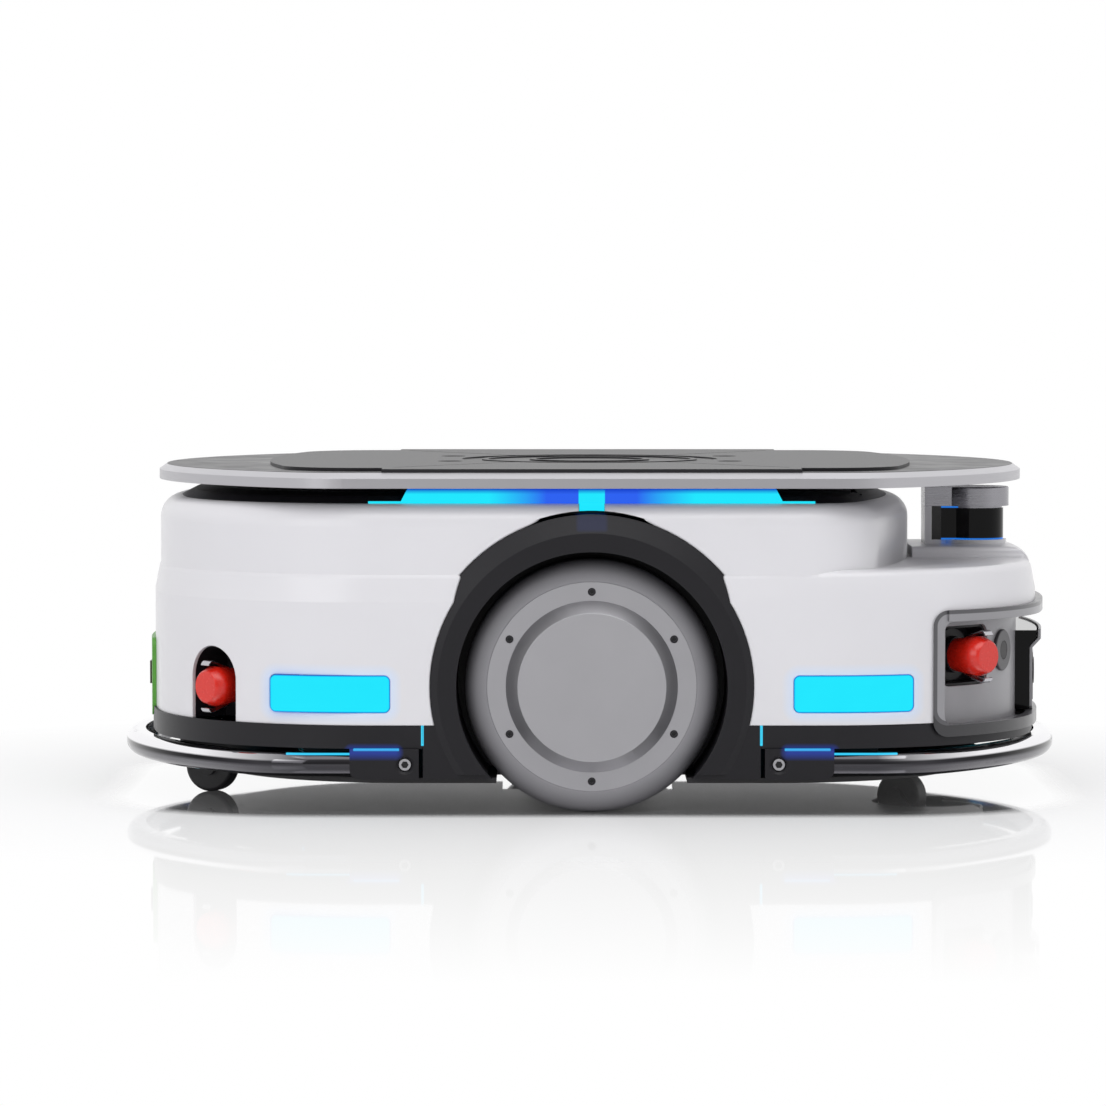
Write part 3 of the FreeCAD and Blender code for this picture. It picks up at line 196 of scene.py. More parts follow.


# Painted light in the black trim, where the lights would show in it: middle, half size, softness, colour and
# strength
trimSpill = (
    {"centre": (127.3, 60.7), "half": (0.7, 8.3), "soft": 0.5, "colour": "#38D8FF", "strength": 1.0},
    {"centre": (162, 49.4), "half": (17, 0.6), "soft": 0.5, "colour": "#38CCFF", "strength": 1.0},
    {"centre": (164, 47.6), "half": (17, 0.6), "soft": 6.0, "colour": "#1C48C4", "strength": 0.5},
    {"centre": (127.8, 92), "half": (1.4, 15), "soft": 4.0, "colour": "#2850C0", "strength": 0.55},
    {"centre": (0, 219.5), "half": (10, 4.5), "soft": 2.5, "colour": "#0C1F52", "strength": 0.4},
)


spillCorner = 0.4


def addSpills(tree, body, place, spills):
    # painted light: glow from the panels, given as emission, where it would show in a dark surface
    if not spills:
        return
    lit = colourOf("#000000")
    for spill in spills:
        away = panelDistance(tree, place, spill["centre"], spill["half"], spillCorner)
        near = spread(tree, away, spill["strength"], 0.0, 0.0, spill["soft"] * mm)
        lit = blendColours(tree, near, lit, colourOf(spill["colour"]))
    connect(tree, lit, body, "Emission Color")
    body.inputs["Emission Strength"].default_value = 1.0


# Painted blue light lines where the window meets its base and its cap
windowSpill = (
    {"centre": (305, 196.5), "half": (36, 0.5), "soft": 0.4, "colour": "#1B78E0", "strength": 0.9},
    {"centre": (305, 222.0), "half": (36, 0.5), "soft": 0.4, "colour": "#1B78E0", "strength": 0.9},
)


def makeMoulded(name, colour, shade, roughness, grain, depth, edge=0.5, coat=0.0, spills=(), sheen=0.5):
    # textured thermoplastic as it leaves a spark-eroded mould
    material, tree, body, place = newMaterial(name, {"IOR": 1.46, "Coat Weight": coat, "Coat Roughness": 0.1,
                                                     "Specular IOR Level": sheen})
    cloud = grainField(tree, place, 40)
    texture = grainField(tree, place, grain, 3.0)
    connect(tree, blendColours(tree, cloud, colourOf(colour), colourOf(shade)), body, "Base Color")
    connect(tree, spread(tree, texture, *roughness), body, "Roughness")
    addBump(tree, body, texture, depth, 0.6, softEdges(tree, edge))
    addSpills(tree, body, place, spills)
    return material


def makeMetal(name, colour, shade, roughness, grain, stretch, depth, edge=0.4):
    # metal with a direction in its finish: brushing squeezes the grain along one axis
    material, tree, body, place = newMaterial(name, {"Metallic": 1.0})
    cloud = grainField(tree, place, 30)
    brush = grainField(tree, place, grain, 4.0, stretch)
    connect(tree, blendColours(tree, cloud, colourOf(colour), colourOf(shade)), body, "Base Color")
    connect(tree, spread(tree, brush, *roughness), body, "Roughness")
    addBump(tree, body, brush, depth, 0.5, softEdges(tree, edge))
    return material, tree, body, place


def makeGlossWindow(name, colour, shade, spills=()):
    # tinted acrylic that only infrared passes, so it reads as polished black
    material, tree, body, place = newMaterial(name, {"IOR": 1.49, "Specular IOR Level": 0.14})
    smear = grainField(tree, place, 14)
    connect(tree, blendColours(tree, smear, colourOf(colour), colourOf(shade)), body, "Base Color")
    connect(tree, spread(tree, smear, 0.03, 0.08), body, "Roughness")
    addSpills(tree, body, place, spills)
    return material


# Load plate: milled aluminium whose top is powder coated black and whose edge is left bright; its bevel is
# painted lighter than its side, a painted highlight
platePaint = {"colour": "#38373A", "shade": "#323134", "roughness": (0.3, 0.4), "edge": "#B4B3B7",
              "bevel": "#C9C8CC"}


def makePlate():
    spec = platePaint
    material, tree, body, place = newMaterial("coated_milled_aluminium", {"Specular IOR Level": 0.22})
    cloud = grainField(tree, place, 60)
    brush = grainField(tree, place, 1.0, 4.0, (0.04, 0.04, 1))
    onTop = axisField(tree, place, 2, plate["top"] - 0.25, plate["top"])
    # painted highlight: the bevel above the side gets a lighter colour of the same bare metal
    bevelHighlight = axisField(tree, place, 2, plate["edgeTop"] - 0.3, plate["edgeTop"] + 0.3)
    bareWithHighlight = blendColours(tree, bevelHighlight, colourOf(spec["edge"]), colourOf(spec["bevel"]))
    coat = blendColours(tree, cloud, colourOf(spec["colour"]), colourOf(spec["shade"]))
    connect(tree, blendColours(tree, onTop, bareWithHighlight, coat), body, "Base Color")
    connect(tree, spread(tree, onTop, 1.0, 0.0, 0.0, 1.0), body, "Metallic")
    connect(tree, spread(tree, brush, *spec["roughness"]), body, "Roughness")
    addBump(tree, body, brush, 0.006, 0.4, softEdges(tree, 0.5))
    return material


# Opal diffuser over a row of diodes: an even glow with a deep blue rim where the diodes stop
diffuser = {"glow": "#22E9FF", "core": "#1FE4FD", "rim": "#1763D8", "rimWidth": 1.1}


def makeSideLight():
    spec = diffuser
    material, tree, body, place = newMaterial("cyan_opal_diffuser", {
        "Base Color": (0, 0, 0, 1), "Roughness": 0.5, "Specular IOR Level": 0.05, "Emission Strength": 1.0})
    cloud = grainField(tree, place, 22)
    glow = blendColours(tree, cloud, colourOf(spec["glow"]), colourOf(spec["core"]))
    away = panelDistance(tree, place, sideLight["centre"], sideLight["half"], sideLight["corner"])
    rim = spread(tree, away, 0.0, 1.0, -spec["rimWidth"] * mm, 0.0)
    connect(tree, blendColours(tree, rim, glow, colourOf(spec["rim"])), body, "Emission Color")
    return material


# Light bar under the plate: cyan towards its ends, blue in the middle and along its upper edge
topBar = {"blue": "#2E62F0", "inner": 34, "outer": 78, "deep": "#1440C8", "edgeLow": 240.5, "edgeHigh": 244.5,
          "stub": (9.6, 10.2)}


def makeTopLight():
    spec = topBar
    material, tree, body, place = newMaterial("cyan_to_blue_diffuser", {
        "Base Color": (0, 0, 0, 1), "Roughness": 0.5, "Specular IOR Level": 0.05, "Emission Strength": 1.0})
    cloud = grainField(tree, place, 22)
    glow = blendColours(tree, cloud, colourOf(diffuser["glow"]), colourOf(diffuser["core"]))
    ends = axisField(tree, place, 0, spec["inner"], spec["outer"], True)
    stub = axisField(tree, place, 0, *spec["stub"], True)
    middle = addNode(tree, "ShaderNodeMath", {"operation": "MULTIPLY"},
                     {0: spread(tree, ends, 1.0, 0.0, 0.0, 1.0), 1: stub}).outputs[0]
    along = blendColours(tree, middle, glow, colourOf(spec["blue"]))
    upper = axisField(tree, place, 2, spec["edgeLow"], spec["edgeHigh"])
    connect(tree, blendColours(tree, upper, along, colourOf(spec["deep"])), body, "Emission Color")
    return material


# Black chrome on a bent tube: near-mirror, with painted reflections: darker along the straight sides than
# round the ends, where a painted white highlight runs over a dark band and a grey foot, and a painted cyan
# line of reflected side light
chromeWithPaintedReflections = {"colour": "#49484C", "start": 215, "end": 300, "upper": "#F2F1F4", "band": "#1B1A1D",
          "lower": "#77767A", "bandLow": 36.5, "bandHigh": 40.5,
          "reflectedLineAt": (205, 45.6), "reflectedLineHalf": (25, 0.5), "line": "#3CD4FF"}


def makeBumper():
    spec = chromeWithPaintedReflections
    material, tree, body, place = makeMetal("black_chrome_painted_reflections", spec["colour"], spec["colour"],
                                            (0.05, 0.09), 2.0, (1, 1, 1), 0.002)
    # painted reflections round the ends: a white highlight above a dark band and a grey foot
    ends = axisField(tree, place, 0, spec["start"], spec["end"], True)
    aboveBand = axisField(tree, place, 2, spec["bandHigh"] - 0.6, spec["bandHigh"] + 0.6)
    aboveFoot = axisField(tree, place, 2, spec["bandLow"] - 1.2, spec["bandLow"] + 1.2)
    paintedReflectionBands = blendColours(tree, aboveBand, blendColours(tree, aboveFoot, colourOf(spec["lower"]),
                                                         colourOf(spec["band"])), colourOf(spec["upper"]))
    connect(tree, blendColours(tree, ends, colourOf(spec["colour"]), paintedReflectionBands), body, "Base Color")
    # painted reflection of the side light: a cyan line given as emission
    away = panelDistance(tree, place, spec["reflectedLineAt"], spec["reflectedLineHalf"], spillCorner)
    onReflectedLine = spread(tree, away, 1.0, 0.0, 0.0, spillCorner * mm)
    lit = blendColours(tree, onReflectedLine, colourOf("#000000"), colourOf(spec["line"]))
    connect(tree, lit, body, "Emission Color")
    body.inputs["Emission Strength"].default_value = 1.0
    return material


def makeTyre():
    # cast polyurethane, with painted shade that makes it darker towards the tread
    material, tree, body, place = newMaterial("cast_polyurethane", {"IOR": 1.5})
    radius = wheelRadius(tree, place)
    cloud = grainField(tree, place, 30)
    wall = blendColours(tree, cloud, colourOf("#8A898D"), colourOf("#848387"))
    # painted shade: darker from the side wall out to the tread
    outer = spread(tree, radius, 0.0, 1.0, wheel["wall"] * mm, wheel["tread"] * mm)
    connect(tree, blendColours(tree, outer, wall, colourOf("#454448")), body, "Base Color")
    texture = grainField(tree, place, 1.2, 3.0)
    connect(tree, spread(tree, texture, 0.5, 0.62), body, "Roughness")
    addBump(tree, body, texture, 0.02, 0.5, softEdges(tree, 2.0))
    return material


coverFinish = {"face": "#B4B3B7", "shade": "#AEADB1", "chamfer": "#9F9EA2"}


def makeCover():
    # turned aluminium disc: a satin face inside a polished chamfer whose colour is painted darker, a painted
    # shade
    spec = coverFinish
    material, tree, body, place = makeMetal("turned_aluminium", spec["face"], spec["shade"], (0.4, 0.46), 0.6,
                                            (1, 1, 1), 0.004)
    radius = wheelRadius(tree, place)
    chamfer = spread(tree, radius, 0.0, 1.0, wheel["coverFace"] * mm, (wheel["coverFace"] + 0.4) * mm)
    cloud = grainField(tree, place, 30)
    face = blendColours(tree, cloud, colourOf(spec["face"]), colourOf(spec["shade"]))
    # painted shade: the chamfer gets a darker colour of the same metal
    connect(tree, blendColours(tree, chamfer, face, colourOf(spec["chamfer"])), body, "Base Color")
    connect(tree, spread(tree, chamfer, 0.45, 0.38, 0.0, 1.0), body, "Roughness")
    return material


def makeBezel():
    # die-cast frame in satin grey whose outer bevel is painted dark, a painted shade; what is below it
    # belongs to the black skirt
    material, tree, body, place = newMaterial("satin_grey_die_cast", {"IOR": 1.5, "Coat Weight": 0.3,
                                                                       "Coat Roughness": 0.15})
    away = panelDistance(tree, place, bezel["centre"], bezel["half"], bezel["corner"])
    # painted shade: a dark band along the frame's outer bevel
    bevel = spread(tree, away, 0.0, 1.0, -(bezel["bevel"] + 0.4) * mm, -bezel["bevel"] * mm)
    below = spread(tree, away, 0.0, 1.0, 0.0, 0.3 * mm)
    cloud = grainField(tree, place, 40)
    bar = blendColours(tree, cloud, colourOf("#929195"), colourOf("#8B8A8E"))
    shadedBevelBar = blendColours(tree, bevel, bar, colourOf("#4B4A4E"))
    connect(tree, blendColours(tree, below, shadedBevelBar, colourOf("#242327")), body, "Base Color")
    connect(tree, spread(tree, cloud, 0.3, 0.38), body, "Roughness")
    addBump(tree, body, grainField(tree, place, 0.7), 0.006, 0.4, softEdges(tree, 0.6))
    return material


# Post behind the scanner: where its black part starts, and the height where its cap starts
scannerPost = {"pale": "#D8D7DB", "shade": "#CFCED2", "black": "#060608", "cap": "#8E8D92",
               "blackFrom": 272.5, "blackFoot": 196, "capFoot": 222.7, "edge": 0.1}


def makeScannerBase():
    # satin white moulding; the part that faces the window is polished black
    spec = scannerPost
    material, tree, body, place = newMaterial("white_and_black_moulding", {"IOR": 1.49})
    cloud = grainField(tree, place, 30)
    pale = blendColours(tree, cloud, colourOf(spec["pale"]), colourOf(spec["shade"]))
    edge = spec["edge"]
    forward = axisField(tree, place, 0, spec["blackFrom"] - edge, spec["blackFrom"] + edge)
    raised = axisField(tree, place, 2, spec["blackFoot"] - edge, spec["blackFoot"] + edge)
    capped = axisField(tree, place, 2, spec["capFoot"] - edge, spec["capFoot"] + edge)
    dark = addNode(tree, "ShaderNodeMath", {"operation": "MULTIPLY"}, {0: forward, 1: raised}).outputs[0]
    lower = blendColours(tree, dark, pale, colourOf(spec["black"]))
    connect(tree, blendColours(tree, capped, lower, colourOf(spec["cap"])), body, "Base Color")
    connect(tree, spread(tree, cloud, 0.2, 0.3), body, "Roughness")
    return material


whiteShell = makeWhitePaint()
blackTrim = makeMoulded("black_textured_abs", "#1D1C20", "#19181C", (0.34, 0.44), 0.8, 0.01,
                         spills=trimSpill, sheen=0.3)
glossBlack = makeGlossWindow("infrared_acrylic", "#050506", "#08080A")
scannerBlack = makeGlossWindow("infrared_window", "#050506", "#08080A", windowSpill)
plateTop = makeMoulded("black_powder_coat", "#262528", "#201F22", (0.32, 0.42), 0.9, 0.01, sheen=0.25)
plateMetal = makePlate()
darkChrome = makeBumper()
tyreRubber = makeTyre()
rimMetal = makeMetal("blasted_aluminium", "#B1B0B4", "#AAA9AD", (0.42, 0.5), 0.5, (1, 1, 1), 0.006)[0]
coverMetal = makeCover()
zincSteel = makeMetal("zinc_plated_steel", "#8F8E92", "#828185", (0.2, 0.3), 0.8, (1, 1, 1), 0.006)[0]
screwSteel = makeMetal("black_oxide_steel", "#4A494C", "#3C3B3E", (0.3, 0.4), 0.5, (1, 1, 1), 0.006)[0]
screwZinc = makeMetal("bright_zinc_screw", "#BDBCC0", "#A9A8AC", (0.25, 0.35), 0.5, (1, 1, 1), 0.004)[0]
sideLightGlow = makeSideLight()
topLightGlow = makeTopLight()
redButton = makeMoulded("red_gloss_abs", "#DD2416", "#D02013", (0.22, 0.3), 4.0, 0.0005, 0.8, 0.3)
bezelGrey = makeBezel()
bayGrey = makeMoulded("grey_bay_moulding", "#9A999D", "#939296", (0.35, 0.45), 0.8, 0.006, 0.5, 0.1)
ringGrey = makeMoulded("dark_grey_button_ring", "#454448", "#3D3C40", (0.3, 0.4), 0.8, 0.006)
panelGreen = makeMoulded("green_panel_abs", "#5AA33A", "#529836", (0.35, 0.42), 1.0, 0.006)
contactDark = makeMetal("oiled_bronze_contact", "#4B4A3E", "#403F35", (0.3, 0.4), 0.6, (1, 1, 1), 0.004)[0]
casterRubber = makeMoulded("dark_polyurethane", "#2C2B2E", "#262528", (0.45, 0.55), 0.8, 0.02)
framePaint = makeMoulded("black_frame_coat", "#1E1D20", "#18171A", (0.4, 0.5), 0.9, 0.02)
innerBlack = makeMoulded("black_module_case", "#1C1C1E", "#171719", (0.45, 0.55), 0.8, 0.02)
guardSteel = makeMetal("polished_spring_steel", "#C6C5CA", "#B7B6BB", (0.2, 0.28), 0.8, (1, 1, 1), 0.002)[0]
scannerPale = makeScannerBase()
scannerCap = makeMetal("brushed_aluminium_cap", "#9C9BA0", "#8F8E93", (0.22, 0.32), 0.8, (0.05, 0.05, 1),
                       0.004)[0]
print("materials made")

finishOf = {
    "white_shell": whiteShell, "black_trim": blackTrim, "gloss_black": glossBlack, "plate_top": plateTop,
    "plate_metal": plateMetal, "dark_chrome": darkChrome, "tyre_grey": tyreRubber, "rim_metal": rimMetal,
    "cover_metal": coverMetal, "steel": zincSteel, "screw_steel": screwSteel, "light_cyan": sideLightGlow,
    "estop_red": redButton, "bezel_grey": bezelGrey, "panel_green": panelGreen, "contact_brass": contactDark,
    "caster_grey": casterRubber, "frame_paint": framePaint, "inner_black": innerBlack,
}
ownFinish = {
    "front_panel": bayGrey, "top_lights": topLightGlow, "scanner_base": scannerPale,
    "scanner_cap": scannerCap, "scanner_window": scannerBlack,
    "power_button_ring": ringGrey, "caster_fork_front": framePaint, "caster_fork_rear": framePaint,
    "bumper_brackets": blackTrim, "chassis_tray": framePaint,
}
for part in frame["record"]["subparts"]:
    node = cadNodes[part["node"]]
    node.data.materials.clear()
    node.data.materials.append(ownFinish.get(part["node"], finishOf[part["material_slot"]]))
print("nodes finished")


def meshOf(name, corners, faces):
    # corners in millimetres; the normals are worked out again because turned shapes can come out reversed
    mesh = bpy.data.meshes.new(name)
    mesh.from_pydata([Vector(corner) * mm for corner in corners], [], faces)
    shape = bmesh.new()
    shape.from_mesh(mesh)
    bmesh.ops.remove_doubles(shape, verts=shape.verts, dist=0.001 * mm)
    bmesh.ops.recalc_face_normals(shape, faces=shape.faces)
    shape.to_mesh(mesh)
    shape.free()
    return mesh


def addPiece(name, corners, faces, material, body, stands=(), smooth=35):
    mesh = meshOf(name, corners, faces)
    mesh.shade_smooth()
    mesh.set_sharp_from_angle(angle=math.radians(smooth))
    mesh.materials.append(material)
    piece = bpy.data.objects.new(name, mesh)
    bpy.context.collection.objects.link(piece)
    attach(piece, body)
    if stands:
        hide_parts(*stands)
    return piece


def applyModifiers(piece):
    result = bpy.data.meshes.new_from_object(piece.evaluated_get(bpy.context.evaluated_depsgraph_get()))
    piece.modifiers.clear()
    piece.data = result


def turnedShape(profile, segments=48):
    # a profile of (place along the axis, radius) turned about +X; a radius of 0 is a pole
    corners, rings, faces = [], [], []
    for along, radius in profile:
        count = segments if radius else 1
        rings.append([len(corners) + i for i in range(count)])
        for i in range(count):
            turn = 2 * math.pi * i / segments
            corners.append((along, radius * math.cos(turn), radius * math.sin(turn)))
    for first, second in zip(rings, rings[1:]):
        for i in range(segments):
            j = (i + 1) % segments
            near = [first[i % len(first)], first[j % len(first)]]
            far = [second[j % len(second)], second[i % len(second)]]
            face = list(dict.fromkeys(near + far))
            if len(face) > 2:
                faces.append(face)
    return corners, faces


def bowedBar(profile, halfWidth, steps=24):
    # a closed profile of (X, Z) drawn across the nose along the bow of its outline
    corners, faces = [], []
    for i in range(steps + 1):
        y = halfWidth * (2 * i / steps - 1)
        sag = nose["bow"] - math.sqrt(nose["bow"] ** 2 - y * y)
        corners += [(x - sag, y, z) for x, z in profile]
    count = len(profile)
    for i in range(steps):
        for k in range(count):
            j = (k + 1) % count
            faces.append([i * count + k, i * count + j, (i + 1) * count + j, (i + 1) * count + k])
    faces.append(list(range(count)))
    faces.append([steps * count + k for k in range(count)])
    return corners, faces


def sheet(profile, thickness, halfWidth):
    # a strip bent along a line of (X, Z) and as wide as asked for in Y
    line = [Vector((x, 0, z)) for x, z in profile]
    offsets = []
    for i in range(len(line)):
        before = line[max(i - 1, 0)]
        after = line[min(i + 1, len(line) - 1)]
        run = (after - before).normalized()
        offsets.append(Vector((-run.z, 0, run.x)) * thickness)
    corners = []
    for point, offset in zip(line, offsets):
        for y in (-halfWidth, halfWidth):
            corners.append(point + Vector((0, y, 0)))
            corners.append(point + offset + Vector((0, y, 0)))
    faces = []
    for i in range(len(line) - 1):
        a, b = i * 4, i * 4 + 4
        faces += [[a, b, b + 1, a + 1], [a + 2, a + 3, b + 3, b + 2], [a, a + 2, b + 2, b],
                  [a + 1, b + 1, b + 3, a + 3]]
    faces += [[0, 1, 3, 2], [len(corners) - 4, len(corners) - 2, len(corners) - 1, len(corners) - 3]]
    return corners, faces


def blockShape(low, high):
    corners = [(x, y, z) for x in (low[0], high[0]) for y in (low[1], high[1]) for z in (low[2], high[2])]
    faces = [[0, 1, 3, 2], [4, 6, 7, 5], [0, 4, 5, 1], [2, 3, 7, 6], [0, 2, 6, 4], [1, 5, 7, 3]]
    return corners, faces


def placed(shape, turn, place):
    # a shape turned about +Z and moved
    corners, faces = shape
    matrix = Matrix.Translation(place) @ Matrix.Rotation(turn, 4, "Z")
    return [matrix @ Vector(corner) for corner in corners], faces


def joined(shapes):
    corners, faces = [], []
    for more, moreFaces in shapes:
        start = len(corners)
        corners += list(more)
        faces += [[start + k for k in face] for face in moreFaces]
    return corners, faces


# Nose pieces follow one bow, as the shell does
nose = {"bow": 600}
pod = {"half": 80, "back": 334, "front": 350.4, "foot": 66, "flare": 114, "lip": 359, "lipFoot": 121,
       "top": 129, "rim": 2.0, "seat": 1.5, "under": 1.2, "sunk": 0.5, "proud": 0.4,
       "glass": (73, 110), "glassHalf": 74, "lensAt": 45, "lensZ": 94, "lens": 10.5}


def makePod():
    p = pod
    face = p["front"] + p["rim"]
    inner = p["lip"] - p["rim"]
    core = [(p["back"], p["foot"]), (p["front"], p["foot"]), (p["front"], p["flare"]),
            (inner - p["seat"], p["lipFoot"] + p["seat"]), (inner - p["seat"], p["top"] - p["under"]),
            (p["back"], p["top"] - p["under"])]
    addPiece("camera_pod_core", *bowedBar(core, p["half"]), glossBlack, "chassis", ["camera_pod"])
    rim = [(p["front"], p["foot"]), (face, p["foot"]), (face, p["flare"]), (p["lip"], p["lipFoot"]),
           (p["lip"], p["top"]), (inner, p["top"]), (inner, p["lipFoot"] + 1),
           (p["front"], p["flare"] + 1)]
    addPiece("camera_pod_rim", *bowedBar(rim, p["half"]), bezelGrey, "chassis")
    low, high = p["glass"]
    sunk, proud = face - p["sunk"], face + p["proud"]
    glass = [(sunk, low), (proud, low), (proud, high), (sunk, high)]
    addPiece("camera_pod_glass", *bowedBar(glass, p["glassHalf"]), glossBlack, "chassis", ["camera_window"])
    lenses = []
    for side in (1, -1):
        sag = nose["bow"] - math.sqrt(nose["bow"] ** 2 - p["lensAt"] ** 2)
        ring = [(0, 0), (0, p["lens"]), (0.5, p["lens"]), (0.7, p["lens"] - 0.4), (0.7, p["lens"] - 2),
                (0.45, p["lens"] - 3), (0.45, 0)]
        turn = math.asin(side * p["lensAt"] / nose["bow"])
        lenses.append(placed(turnedShape(ring), turn, (proud - sag, side * p["lensAt"], p["lensZ"])))
    addPiece("camera_pod_lenses", *joined(lenses), ringGrey, "chassis", ["camera_lenses"])


# Scanner: the black core and the cap both run back to the post behind the window
scanner = {"back": 279.9, "front": 306, "core": 17, "cap": 19.1, "capBack": 266.9,
           "foot": 196, "windowTop": 222.7, "capFoot": 222.7,
           "top": 237.9}


def makeScannerCore():
    s = scanner
    core = blockShape((s["back"], -s["core"], s["foot"]), (s["front"], s["core"], s["windowTop"]))
    addPiece("scanner_core", *core, scannerBlack, "chassis")
    cap = blockShape((s["capBack"], -s["cap"], s["capFoot"]), (s["front"], s["cap"], s["top"]))
    addPiece("scanner_cap_block", *cap, scannerCap, "chassis")


# Stop buttons: a knob that widens towards its face, in a guard of bent strip that opens outward
stop = {"profile": ((0.0, 11.8), (0.02, 12.3), (0.1, 12.5), (0.66, 15.0), (0.74, 15.3), (0.8, 15.2),
                    (0.9, 13.6), (0.97, 12.6), (1.0, 11.4)),
        "foot": 14.2, "tip": 18.8, "reach": 17, "curl": 3.4, "strip": 1.2, "half": 4.5, "behind": 21,
        "base": 3, "bend": 2, "bendRun": 1.5, "hookSteps": 4, "hookTurn": 20}
corners = {"front_left": (1, 1), "front_right": (1, -1), "rear_left": (-1, 1), "rear_right": (-1, -1)}


def makeStops():
    guards = []
    for name, (signX, signY) in corners.items():
        node = cadNodes["estop_cap_" + name]
        low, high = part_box("estop_cap_" + name)
        middle = (low + high) / 2 / mm
        turn = math.atan2(signY, signX)
        out = Vector((math.cos(turn), math.sin(turn), 0))
        reach = [(vertex.co / mm - middle).dot(out) for vertex in node.data.vertices]
        back, tip = min(reach), max(reach)
        profile = [(back, 0)] + [(back + (tip - back) * part, radius) for part, radius in stop["profile"]]
        knob = turnedShape(profile + [(tip, 0)])
        addPiece("stop_knob_" + name, *placed(knob, turn, middle), redButton, "estop_" + name,
                 ["estop_cap_" + name])
        start = tip - stop["behind"]
        end = start + stop["reach"]
        hook = [(end + stop["curl"] * math.sin(t), stop["tip"] - stop["curl"] * (1 - math.cos(t)))
                for t in [math.radians(stop["hookTurn"] * step) for step in range(1, stop["hookSteps"] + 1)]]
        upper = [(start, stop["base"]), (start, stop["foot"] - stop["bend"]),
                 (start + stop["bendRun"], stop["foot"]), (end, stop["tip"])] + hook
        lower = [(x, -z) for x, z in upper]
        for line in (upper, lower[::-1]):
            guards.append(placed(sheet(line, stop["strip"], stop["half"]), turn, middle))
    addPiece("stop_guards", *joined(guards), guardSteel, "chassis", ["estop_guards"], 50)


# Geometry Nodes: one tree that sets copies of a small part round a circle
def ringTree():
    tree = bpy.data.node_groups.new("copies_round_a_circle", "GeometryNodeTree")
    faces = tree.interface
    inputs = (("Copy", "NodeSocketObject"), ("Count", "NodeSocketInt"), ("Circle Radius", "NodeSocketFloat"),
              ("Size", "NodeSocketFloat"), ("Centre", "NodeSocketVector"), ("Turn", "NodeSocketVector"),
              ("Finish", "NodeSocketMaterial"))
    faces.new_socket("Geometry", in_out="INPUT", socket_type="NodeSocketGeometry")
    for name, kind in inputs:
        faces.new_socket(name, in_out="INPUT", socket_type=kind)
    faces.new_socket("Geometry", in_out="OUTPUT", socket_type="NodeSocketGeometry")
    given = addNode(tree, "NodeGroupInput").outputs
    index = addNode(tree, "GeometryNodeInputIndex").outputs[0]
    step = addNode(tree, "ShaderNodeMath", {"operation": "DIVIDE"}, {0: index, 1: given["Count"]})
    angle = addNode(tree, "ShaderNodeMath", {"operation": "MULTIPLY", 1: 2 * math.pi}, {0: step.outputs[0]})
    cosine = addNode(tree, "ShaderNodeMath", {"operation": "COSINE"}, {0: angle.outputs[0]})
    sine = addNode(tree, "ShaderNodeMath", {"operation": "SINE"}, {0: angle.outputs[0]})
    unit = addNode(tree, "ShaderNodeCombineXYZ", {}, {0: cosine.outputs[0], 1: sine.outputs[0]})
    spot = addNode(tree, "ShaderNodeVectorMath", {"operation": "SCALE"}, {0: unit.outputs[0],
                                                                         "Scale": given["Circle Radius"]})
    points = addNode(tree, "GeometryNodePoints", {}, {"Count": given["Count"], "Position": spot.outputs[0]})
    copy = addNode(tree, "GeometryNodeObjectInfo", {}, {"Object": given["Copy"]})
    size = addNode(tree, "ShaderNodeCombineXYZ", {}, {0: given["Size"], 1: given["Size"], 2: given["Size"]})
    copies = addNode(tree, "GeometryNodeInstanceOnPoints", {}, {
        "Points": points.outputs[0], "Instance": copy.outputs["Geometry"], "Scale": size.outputs[0]})
    moved = addNode(tree, "GeometryNodeTransform", {}, {
        "Geometry": copies.outputs["Instances"], "Translation": given["Centre"], "Rotation": given["Turn"]})
    real = addNode(tree, "GeometryNodeRealizeInstances", {}, {"Geometry": moved.outputs["Geometry"]})
    finished = addNode(tree, "GeometryNodeSetMaterial", {}, {"Geometry": real.outputs["Geometry"],
                                                             "Material": given["Finish"]})
    addNode(tree, "NodeGroupOutput", {}, {"Geometry": finished.outputs["Geometry"]})
    return tree


def growPiece(name, tree, values, body, stands=()):
    # runs a tree once and keeps its result as a plain mesh
    holder = bpy.data.objects.new(name, bpy.data.meshes.new(name))
    bpy.context.collection.objects.link(holder)
    modifier = holder.modifiers.new("copies", "NODES")
    modifier.node_group = tree
    keys = {item.name: item.identifier for item in tree.interface.items_tree if item.in_out == "INPUT"}
    for label, value in values.items():
        modifier[keys[label]] = value
    applyModifiers(holder)
    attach(holder, body)
    if stands:
        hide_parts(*stands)
    return holder


# Socket screws, drawn with a head of 1 mm radius and sized by the tree; each socket has a black floor that is
# painted shade
screwHead = {"height": 0.5, "break": 0.12, "socket": 0.56, "deep": 0.4, "fit": 0.98, "sides": 24}


